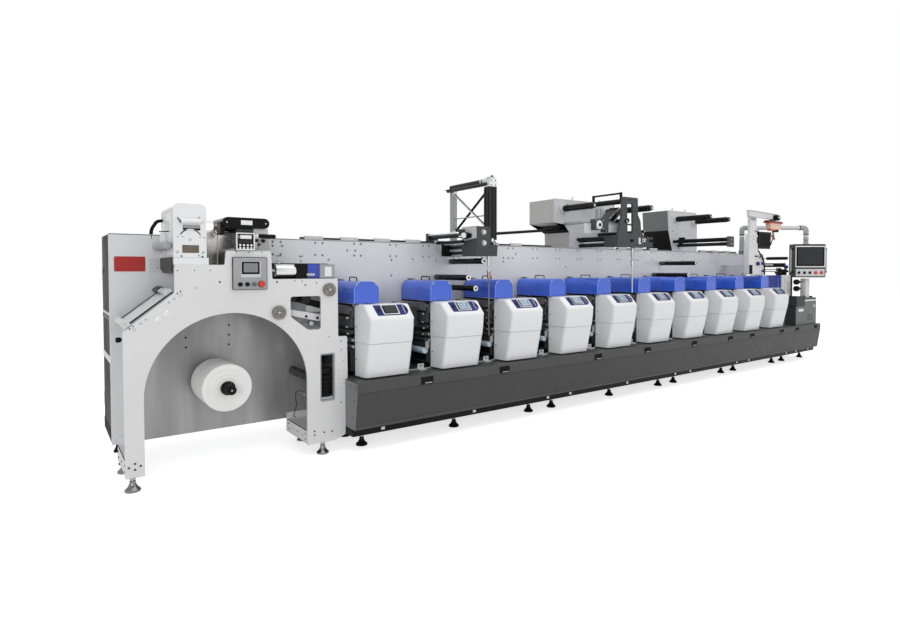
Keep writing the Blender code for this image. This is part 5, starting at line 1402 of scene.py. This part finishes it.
def second_extras():
    """Dead rollers and the end plate of the rewind under the shafts."""
    turned((5330, -60, 1845), 'y', [(0, 14), (4, 26), (140, 26), (145, 24), (780, 24), (785, 16),
        (804, 16)], "black_anodised", 26)
    end_plate = soften(rect(5255, 5420, 1800, 1945), 15)
    pierced(end_plate, [hole(5375, 1905, 14, 18), hole(5375, 1845, 14, 18)], (-72, -61.2), "frame_grey")
    turned((5240, 600, 1900), 'y', [(0, 18), (10, 40), (50, 40), (60, 22), (146, 22)], "black_rubber")
    turned((5225, 550, 1940), 'y', [(0, 10), (20, 16), (80, 16), (100, 10)], "black_rubber", 16)
    block("zinc", (5360, 5460, 728, 749.5, 1800, 1830))
    for x, z in ((5715, 2195),):
        turned((x, 728, z), 'y', [(0, 30), (4, 34), (21, 34)], "pale_grey", 28)


finish("hood_grey", (178, 177, 176), 0.4, 0, 0.04, 3, 420, 0.15)
finish("hood_dark", (112, 113, 113), 0.4, 0, 0.05, 3, 420, 0.15, shine=0.2)
housing("winder_one", "winder_housing_1",
        [(2831, 2351), (2831, 2061), (3003, 2046), (3094, 1952), (3100, 1765.3), (3930, 1765.3),
         (3930, 2351)], ((2973, 2235, 66), (3750, 2235, 66)), (3200, 3700),
        ((3026, 2334, 5), (2862, 2166, 6), (2872, 2330, 5), (3130, 2050, 5), (3130, 1850, 5), (3900, 2330, 5),
         (3900, 1800, 5), (3450, 2330, 5)), "hood_grey", (2830, 3100, 1800), first_extras)
housing("winder_two", "winder_housing_2",
        [(5116, 2350), (5138, 2057), (5236, 1775.3), (5236, 1765.3), (5843, 1765.3), (5843, 2310),
         (5821, 2350)], ((5290, 2226, 52), (5785, 2215, 52)), (5300, 5620),
        ((5219, 2050, 8), (5324, 2023, 8), (5222, 1846, 6), (5450, 2330, 5), (5150, 2320, 5), (5800, 1800, 5),
         (5550, 1950, 6), (5550, 2060, 6)), "hood_dark", (5130, 5240, 1770), second_extras)

# %% [markdown]
# ## The laminator
# Between the winders a second web is pressed onto the first. A dark portal with
# a long window stands out in front, a slanted turning plate and a silver clamp
# sit left of it, and a block with four knobs sets the pressure. The portal is
# drawn as one outline with its bulges, as it is cut from one plate.

# %% Laminator
y = 100
portal = soften([(3190, 1757), (3205, 1926), (3262, 2103), (3285, 2341), (3562, 2344), (3566, 2145),
                 (3616, 2070), (3628, 1955), (3690, 1890), (3690, 1757)], 14)
window = soften([(3362, 2262), (3468, 2267), (3472, 1925), (3376, 1921)], 20)
pierced(portal, [window], (y, y + 26), "frame_grey")
block("frame_grey", (3362, 3472, y + 10, y + 28, 2015, 2035))
screws(y, 8, "black_paint", (3330, 2200), (3322, 2062), (3411, 2315), (3510, 2180), (3550, 1970),
    (3250, 1800))
# Rollers crossing behind the window
bar("black_rubber", 22, (3420, y + 30, 320, 2075, 26))
turned((3345, 85, 2058), 'y', [(0, 14), (4, 22), (235, 22)], "black_rubber", 20)
turned((3345, 82, 2058), 'y', [(0, 6), (3, 10), (6, 10)], "cast_silver", 16)
turned((3695, 120, 1952), '-x', [(0, 13), (4, 19), (30, 19), (32, 12)], "black_rubber", 20)
turned((3712, 120, 1952), '-x', [(0, 10), (3, 13), (18, 13)], "cast_silver", 18)
# Foot of the portal: a rounded block, and the block with the four knobs
plate(soften(rect(3195, 3370, 128, 310), 20), (1762, 1885), "frame_grey", 'z')
plate(soften([(3374, 1766), (3862, 1768), (3862, 1890), (3374, 1888)], 6), (y + 4, 212), "frame_grey")
for x, z, name, r in ((3444, 1836, "black_rubber", 20), (3673, 1846, "cast_silver", 26),
                      (3817, 1844, "black_rubber", 20)):
    turned((x, y + 4, z), '-y', [(0, r), (4, r), (6, r * 0.8), (26, r * 0.8), (30, r * 0.55)], name)
turned((3673, y - 24, 1846), '-y', [(0, 9), (4, 9)], "black_paint", 14)
block("cast_silver", (3562, 3590, y - 20, y + 4, 1800, 1874), (3590, 3612, y - 14, y + 4, 1800, 1815))
for x in (3395, 3500, 3745, 3846):
    for z in (1782, 1876):
        screws(y + 4, 4.5, "black_paint", (x, z))
# Black handle bar over the portal on two posts
for y0, y1 in ((200.5, 225.5), (624.7, 649.7)):
    block("black_paint", (3378, 3402, y0, y1, 2322, 2410))
bar("black_anodised", 20, (3390, 206.5, 645, 2398, 11.5))
block("frame_grey", (3378, 3402, 124, 649, 2312, 2324))
turned((3355, 130, 2296), 'y', [(0, 24), (4, 31), (612, 31), (619.5, 24)], "black_anodised", 28)
# Slanted turning plate, a pale bar and a silver clamp with a hexagon on a post
plate([(3136, 2072), (3222, 2057), (3400, 2190), (3327, 2228)], (190, 330), "black_anodised")
plate([(3228, 2054), (3240, 2052), (3412, 2184), (3404, 2190)], (186, 330), "cast_silver")
plate([(3150, 2080), (3160, 2079), (3338, 2218), (3330, 2222)], (186, 190), "cast_silver")
block("pale_grey", (3105, 3352, 200, 232, 1940, 2042), (2775, 2885, 226, 236, 1905, 2018))
block("box_grey", (3105, 3352, 196, 200, 2020, 2044), (3000, 3045, 225, 265, 2070, 2196))
block("frame_grey", (3060, 3120, 170, 240, 1925, 2072))
plate(soften([(2888, 1945), (3050, 1948), (3050, 2074), (2888, 2068)], 12), (165, 245), "frame_grey")
turned((2955, 165, 2003), '-y', [(0, 50), (4, 50), (8, 44), (12, 30), (8, 24)], "cowl_white", 28)
turned((2955, 160, 2003), '-y', [(0, 20), (10, 20)], "black_paint", 6)
screws(165, 7, "zinc", (2905, 2055), (3025, 2055), (2905, 1962), (3025, 1962))
rod((3062, 245, 2075), (3062, 245, 2196), 10, "black_anodised", 14)
bar("zinc", 18, (2990, 250, 749.7, 2050, 17))
bar("zinc", 14, (2945, 245, 400, 1985, 12))
# Lower rollers going back to the wall
for x, z, r, name, y0 in ((3228, 1868, 21, "black_anodised", 300), (3262, 1850, 14, "black_rubber", 330),
                          (3245, 1826, 9, "chrome", 320), (3270, 1790, 24, "black_anodised", 300),
                          (3620, 1940, 24, "black_anodised", 127)):
    turned((x, y0, z), (x, 749.5, z), [(0, r * 0.6), (3, r), (746.5 - y0, r), (749.5 - y0, r * 0.6)], name)
# Rod hanging from the block, with collars
turned((3553, 170, 1770), '-z', [(0, 19), (10, 21), (110, 21), (128, 12), (150, 8), (160, 19), (230, 19),
    (234, 9), (550, 8.5)], "zinc", 20)
tube([(3165, 240, 1925), (3155, 220, 1900), (3170, 215, 1865)], 4, "black_paint", 10, 8)
make("laminator_unit", "laminator_frame")

# %% [markdown]
# ## The delivery end
# At the right end the web passes a camera that checks the print, and leaves the
# line. A white column carries the camera and its screen, a frame of two pale
# plates holds the last rollers, and a low cabinet stands on the base. Most of it
# is small in the picture, so the forms are kept simple and the colours do the
# work: white, black, peach and red.

# %% Inspection camera
finish("peach", (228, 194, 174), 0.4, 0, 0.05, 5, 300, 0.1)
front = 250
column = soften([(6436, 1418), (6700, 1418), (6708, 1760), (6690, 2030), (6640, 2045), (6470, 2045),
                 (6436, 1800)], 20)
plate(column, (front, front + 80), "plate_white")
block("black_paint", (6445, 6545, front - 1.2, front + 1, 1426, 1566))
block("black_rubber", (6456, 6534, front - 2.2, front - 1, 1436, 1556))
for z in (2002, 1955):
    screws(front, 8, "black_paint", (6568, z))
block("plate_white", (6500, 6670, front + 79, 752.7, 1560, 1720), (6450, 6694, 732.7, 752.7, 1500, 1755),
    (6492, 6688, front + 12, front + 58, 2030, 2300))
# Beam: a box section with a lip, on the riser
plate([(6472, 2303), (6472, 2392), (7358, 2372), (7358, 2290)], (front + 8, front + 64), "plate_white")
plate([(6470, 2386), (6470, 2395), (7360, 2375), (7360, 2367)], (front + 2, front + 70), "box_grey")
block("box_grey", (6500, 6640, front + 4, front + 10, 2245, 2292))
for x in (6530, 6610):
    screws(front + 4, 8, "black_paint", (x, 2268))
# Camera head under the beam
for dx in (0, 75):
    turned((7225 + dx, 205, 2318), 'y', [(0, 20), (10, 40), (70, 44), (110, 40)], "black_rubber", 26)
turned((7285, 204, 2322), 'y', [(0, 14), (2, 22), (8, 22)], "cast_silver", 20)
plate(rounded_box(6975, 7435, 212, 318, 12), (2228, 2246), "red_paint", 'z')
plate(rounded_box(6985, 7120, 222, 308, 12), (2246, 2268), "black_paint", 'z')
plate(rounded_box(7150, 7425, 224, 306, 12), (2246, 2262), "black_paint", 'z')
plate(soften([(7030, 2227), (7400, 2227), (7370, 2130), (7060, 2130)], 12), (226, 304), "peach")
block("orange_part", (7080, 7200, 224, 300, 2110, 2130))
block("black_rubber", (7235, 7330, 236, 296, 2092, 2130))
rod((7180, 262, 2115), (7235, 262, 1985), 11, "black_rubber", 14)
rod((7160, 262, 2030), (7245, 262, 1975), 13, "red_paint", 14)
rod((7175, 262, 2070), (7190, 262, 2000), 10, "peach", 12)
rod((7195, 262, 2000), (7120, 262, 1880), 8, "black_rubber", 12)
# Screen on its bracket, seen from behind
plate(soften([(6700, 1815), (7050, 1818), (7080, 2080), (6700, 2078)], 8), (232, 268), "black_paint")
plate(rounded_box(6735, 7045, 1850, 2050, 6), (230.5, 234), "black_rubber")
block("frame_grey", (6660, 6730, 246, 280, 1900, 1990))
tube([(6620, 275, 2060), (6640, 262, 2085), (6720, 255, 2090), (6740, 262, 2060)], 8, "black_rubber", 20,
    10)
tube([(6730, 285, 1830), (6790, 262, 1740), (6880, 258, 1680), (6928, 258, 1560), (6938, 262, 1405)], 11,
    "black_rubber", 90)
# Plugs and knobs in front of the column
for x, z, r in ((6620, 1700, 10), (6660, 1698, 10), (6760, 1690, 12), (6830, 1655, 14)):
    turned((x, front, z), '-y', [(0, r), (16, r), (20, r * 0.6)], "black_rubber", 16)
block("plate_white", (6700, 6860, 250, 300, 1418, 1660))
for x, z, r in ((6675, 1585, 30), (6800, 1590, 24), (6835, 1470, 20)):
    turned((x, 250, z), '-y', [(0, r * 0.6), (12, r * 0.6), (14, r), (32, r), (36, r * 0.7)], "navy_band",
        22)
turned((6735, 250, 1588), '-y', [(0, 14), (30, 14), (34, 8)], "cast_silver", 16)
make("inspection_camera", "inspection_beam", 0.0012)

# %% Delivery frame, fixed guard and cabinet
finish("cabinet_grey", (106, 107, 108), 0.42, 0, 0.05, 5, 380, 0.2, shine=0.2)
finish("navy_sheet", (26, 44, 132), 0.3, 0, 0.06, 5, 300, 0.05, shine=0.15)
x0, x1, y0, y1 = 7500, 7850, 260, 752.7
front = [(x0, 593.5), (x1, 593.5), (x1, 1392), (x1 - 30, 1400), (x0, 1400)]
back = [(x0, 593.5), (x1, 593.5), (x1, 1740), (x1 - 30, 1760), (x0 + 50, 1760), (x0, 1520)]
pierced(front, [hole(7705, 1271, 17)], (y0, y0 + 20), "plate_white")
# Painted shade: a black disc inside the hole of the front plate
block("black_paint", (7680, 7730, y0 + 16, y0 + 19, 1250, 1290))
pierced(back, [hole(7700, 1271, 30)], (y1 - 20, y1), "plate_white")
block("plate_white", (x0 + 20, x1 - 20, y0 + 20, y1 - 20, 694, 734))
for x, z, r, name in ((7600, 1330, 34, "black_anodised"), (7720, 1160, 46, "ground_steel"),
                      (7620, 980, 46, "black_anodised")):
    bar(name, 28, (x, y0 + 20, y1 - 20, z, r))
    screws(y0, 12, "zinc", (x, z))
screws(y0, 7, "black_paint", (7520, 1370), (7520, 640), (7830, 640), (7830, 1360))
# Overhung rollers above the frame, on dead shafts from the rear plate
for x, z, r, reach in ((7780, 1682, 26, 300), (7770, 1568, 35, 330)):
    bar("pale_grey", 14, (x, reach - 20, y1 - 20, z, 9))
    turned((x, reach, z), 'y', [(0, 14), (4, r), (340, r), (344, 14)], "black_anodised", 26)
bar("cast_silver", 16, (7600, 450, y1 - 20, 1568, 13))
for x, z in ((7540, 1495), (7540, 1462)):
    bar("box_grey", 12, (x, 340, y1 - 20, z, 8))
block("black_rubber", (7560, 7640, 330, 380, 1402, 1520))
tube([(7420, 320, 1440), (7600, 310, 1445), (7720, 310, 1500), (7820, 310, 1460)], 16, "black_rubber", 50)
block("black_paint", (7660, 7740, 290, 350, 1402, 1500))
turned((7735, 270, 1535), 'y', [(0, 16), (10, 30), (50, 30), (60, 16)], "navy_band", 20)
make("delivery_frame", "end_frame")
low, high = mm_box("end_guard")
x0, y0 = low.x, low.y
plate(rounded_box(x0, 7470, low.z, high.z, 6), (y0, y0 + 6), "navy_sheet")
# Painted highlight along the edge of the guard, in the paler glowing blue
block("blue_edge_highlight", (7360, 7366, y0 - 2, y0, low.z + 20, high.z - 50))
for x in (x0 + 30, 7440):
    for z in (low.z + 20, high.z - 20):
        screws(y0, 6, "zinc", (x, z))
make("fixed_guard", "end_guard", 0.0006)
foot = 593.5
plate(rounded_box(7862, 8308, foot, 1030, 12), (62, 600), "cabinet_grey")
plate(rounded_box(7580, 7860.5, foot, 900, 10), (62, 235), "cabinet_grey")
block("deep_grey", (7578.5, 7580.5, 66, 231, foot + 4, 896))
plate(rounded_box(7560, 7850, 900.5, 1060, 10), (47, 235), "deep_grey")
pierced(rounded_box(7580, 7830, 920, 1040, 6), [rounded_box(7586, 7824, 926, 1034, 5)],
    (45.5, 47.5), "frame_grey")
# Front: top handle in a pale edge, a round lock, a bare plate and louvres
block("cowl_white", (7880, 8290, 56, 62.5, 975, 1000), (7900, 8270, 50, 57, 985, 992))
block("black_paint", (7880, 8290, 60, 62.5, 1002, 1018))
turned((8227, 62, 890), '-y', [(0, 24), (4, 24), (5, 15), (2, 14)], "cowl_white")
turned((8227, 61, 890), '-y', [(0, 12), (4, 12), (6, 8)], "zinc", 16)
block("bare_plate", (7670, 7842, 60.5, 62.2, 811, 857))
block("box_grey", (8258, 8276, 60.5, 62.2, 870, 905))
for k in range(5):
    block("deep_grey", (7960, 8180, 60, 62.2, 660 + k * 22, 668 + k * 22))
for x in (7600, 7840, 7885, 8285):
    screws(62, 6, "zinc", (x, 615))
# On top: a pale column with two hand knobs, small parts, and a black pole beside it
plate(soften(rect(8040, 8170, 110, 210), 20), (1030.5, 1345), "plate_white", 'z')
for z, rod_name in ((1290, "red_paint"), (1182, "zinc")):
    rod((7900, 150, z), (8045, 150, z), 6, rod_name, 12)
    turned((7750, 150, z), 'x', [(0, 38), (4, 43), (50, 43), (110, 24), (155, 18)], "black_rubber", 26)
for x, h, name in ((7930, 20, "black_paint"), (7990, 30, "black_rubber"), (8240, 24, "black_paint")):
    turned((x, 120, 1030), 'z', [(0, 24), (h * 0.6, 24), (h, 15)], name, 18)
turned((7578, 140, 1060.5), 'z', [(0, 20), (8, 20), (10, 12.5), (330, 12.5), (336, 8)], "black_paint", 18)
make("delivery_cabinet", "end_cabinet", 0.0012)

# %% [markdown]
# ## Arm and control panel
# The main panel hangs from a pipe arm, so that the printer can turn it to any
# unit. The arm is a bent pipe with thicker elbows and ribbed collars. It rides
# on its own body, and the panel on another that hangs below it. The panel is
# built in its own frame, screen to the front, and then turned and moved to the
# end of the arm.

# %% Post, arm and panel
ARM = Vector((7250, 800, 2190))
TURN = radians(-37.2)
REACH = 1070
TIP = ARM + Vector((cos(TURN), sin(TURN), 0)) * REACH

block("wall_grey", (7041.5, 7308, 753.5, 852, 209, 1740))
for z in (300, 800, 1300, 1680):
    for x in (7070, 7280):
        screws(753.5, 8, "zinc", (x, z))
turned((ARM.x, ARM.y, 1735), 'z', [(0, 51), (20, 51), (24, 49), (78, 49), (82, 41), (300, 37.5), (306, 36)],
    "box_grey", 36)
block("box_grey", (7180, 7305, 740.5, 752.2, 1632, 1761.5))
for k in range(3):
    turned((ARM.x, ARM.y, 1752 + k * 18), 'z', [(0, 49.5), (2, 51.2), (8, 51.2), (10, 49.5)], "frame_grey",
        36)
make("panel_post", "arm_post")
foot, drop = 2050.8, 1976.3
tube([(ARM.x, ARM.y, foot), tuple(ARM), tuple(TIP), (TIP.x, TIP.y, drop)], 35.5, "pale_grey", 90, 28)
along = (TIP - ARM).normalized()
for at, way in ((ARM, along), (TIP, -along)):
    inner = at + way * 105
    low = at - Vector((0, 0, 105))
    tube([tuple(low), tuple(at), tuple(inner)], 40, "box_grey", 90, 28)
    for start, end in ((low, low - Vector((0, 0, 12))), (inner, inner + way * 12)):
        rod(tuple(start), tuple(end), 42.5, "frame_grey", 28)
for z in (foot + 2, drop + 2, drop + 20, drop + 38):
    x, y = (ARM.x, ARM.y) if z > 2040 else (TIP.x, TIP.y)
    turned((x, y, z), 'z', [(0, 36), (2, 41), (10, 41), (12, 36)], "box_grey", 28)
make("pipe_arm", "panel_arm", 0, "panel_arm")
top, w, h = 1915, 260, 550
case = rounded_box(-w, w, top - h, top, 20, 5)
plate(case, (-128, 30), "frame_grey")
for inset, y0, y1 in ((6, -133.5, -127.5), (12, -136.5, -133)):
    plate(rounded_box(-w + inset, w - inset, top - h + inset, top - inset, 20 - inset / 2, 5),
        (y0, y1), "frame_grey")
# Silver frame round the screen, dark bezel, and the screen with its reflection
pierced(rounded_box(-245, 247, top - 382, top - 32, 6),
    [rounded_box(-232, 234, top - 366, top - 48, 4)], (-139.5, -135.5), "cast_silver")
block("black_paint", (-233, 235, -138.5, -136, top - 367, top - 47))
block("screen_dark", (-205, 208, -139.2, -138, top - 340, top - 68))
# Button strip
plate(rounded_box(-236, 238, top - 530, top - 412, 4), (-139.5, -135.5), "pale_grey")
for x, name in ((-186, "black_rubber"), (-94.5, "black_rubber"), (-5, "black_rubber"),
                (91, "red_button"), (186, "red_button")):
    r = 21 if name == "black_rubber" else 26
    turned((x, -139.5, top - 472), '-y', [(0, r + 3), (2, r + 3), (3, r - 2), (11, r - 2), (14, r - 6)],
        name, 26)
# Handles at both sides: black standoffs and a pale rod
for side in (-1, 1):
    x = side * (w + 35)
    for z in (top - 80, top - 460):
        turned((side * (w - 4), -90, z), (x + side * 4, -90, z), [(0, 15), (12, 15), (14, 11), (43, 11)],
            "black_rubber", 18)
    rod((x, -90, top - 466), (x, -90, top - 74), 7.5, "pale_grey", 18)
for k in range(8):
    block("deep_grey", (-180 + k * 50, -150 + k * 50, 29.5, 31.2, top - 420, top - 160))
turned((0, 0, top - 1), 'z', [(0, 52), (10, 52), (14, 38), (59.5, 36)], "box_grey", 32)
screws(-136.5, 5.5, "zinc", (-236, top - 22), (236, top - 22), (-236, top - h + 22), (236, top - h + 22))
place = Matrix.Translation((TIP.x / 1000, TIP.y / 1000, 0)) @ Matrix.Rotation(TURN, 4, 'Z')
bmesh.ops.transform(bench.bm, matrix=place, verts=bench.bm.verts)
make("main_panel", "control_panel", 0.001, "control_panel")

# %% [markdown]
# ## Floor and light
# The machine was cut out on white, so the floor is white and takes only a soft
# shadow.

# %% Stage
def with_backdrop(tree, plain, shown, output):
    """Lights with the plain shader, and shows the other to the camera and in gloss and glass."""
    rays = tree.nodes.new("ShaderNodeLightPath")
    total = rays.outputs["Is Camera Ray"]
    for kind in ("Is Glossy Ray", "Is Transmission Ray"):
        most = tree.nodes.new("ShaderNodeMath")
        most.operation = 'MAXIMUM'
        tree.links.new(total, most.inputs[0])
        tree.links.new(rays.outputs[kind], most.inputs[1])
        total = most.outputs[0]
    choose = tree.nodes.new("ShaderNodeMixShader")
    for source, socket in ((total, 0), (plain.outputs[0], 1), (shown.outputs[0], 2)):
        tree.links.new(source, choose.inputs[socket])
    tree.links.new(choose.outputs[0], tree.nodes[output].inputs["Surface"])

world = bpy.data.worlds.new("studio")
bpy.context.scene.world = world
world.use_nodes = True
tree = world.node_tree
hall, seen = tree.nodes["Background"], tree.nodes.new("ShaderNodeBackground")
set_all(hall, Color=(1, 1, 1, 1), Strength=0.55)
set_all(seen, Color=(1, 1, 1, 1), Strength=1)
with_backdrop(tree, hall, seen, "World Output")

floor_mesh = bpy.data.meshes.new("floor")
HALF = 30
floor_mesh.from_pydata([(-HALF, -HALF, 0), (HALF, -HALF, 0), (HALF, HALF, 0), (-HALF, HALF, 0)], [],
                       [(0, 1, 2, 3)])
floor = bpy.data.objects.new("floor", floor_mesh)
bpy.context.scene.collection.objects.link(floor)
tree, shader = blank("floor_white")
set_all(shader, Base_Color=(0.8, 0.8, 0.8, 1), Roughness=0.9)
glow = tree.nodes.new("ShaderNodeEmission")
set_all(glow, Strength=0.68)
both = tree.nodes.new("ShaderNodeAddShader")
tree.links.new(shader.outputs[0], both.inputs[0])
tree.links.new(glow.outputs[0], both.inputs[1])
with_backdrop(tree, shader, both, "Material Output")
floor_mesh.materials.append(FINISHES["floor_white"])


def soft_box(name, at, aim, size, power):
    """A large lamp that points at a place."""
    lamp = bpy.data.lights.new(name, 'AREA')
    lamp.shape, lamp.size, lamp.size_y, lamp.energy = 'RECTANGLE', size[0], size[1], power
    holder = bpy.data.objects.new(name, lamp)
    bpy.context.scene.collection.objects.link(holder)
    holder.location = at
    holder.rotation_euler = (Vector(aim) - Vector(at)).to_track_quat('-Z', 'Y').to_euler()


soft_box("ceiling", (0, -1.5, 6.5), (0, 0, 0.8), (12, 5), 225)
soft_box("front", (4.5, -7.5, 3.0), (3.0, 0, 1.2), (9, 3.5), 76)
soft_box("left_front", (-8.5, -8.0, 2.6), (0.5, 0, 0.9), (4, 3), 205)
bpy.context.scene.view_settings.view_transform = 'Standard'
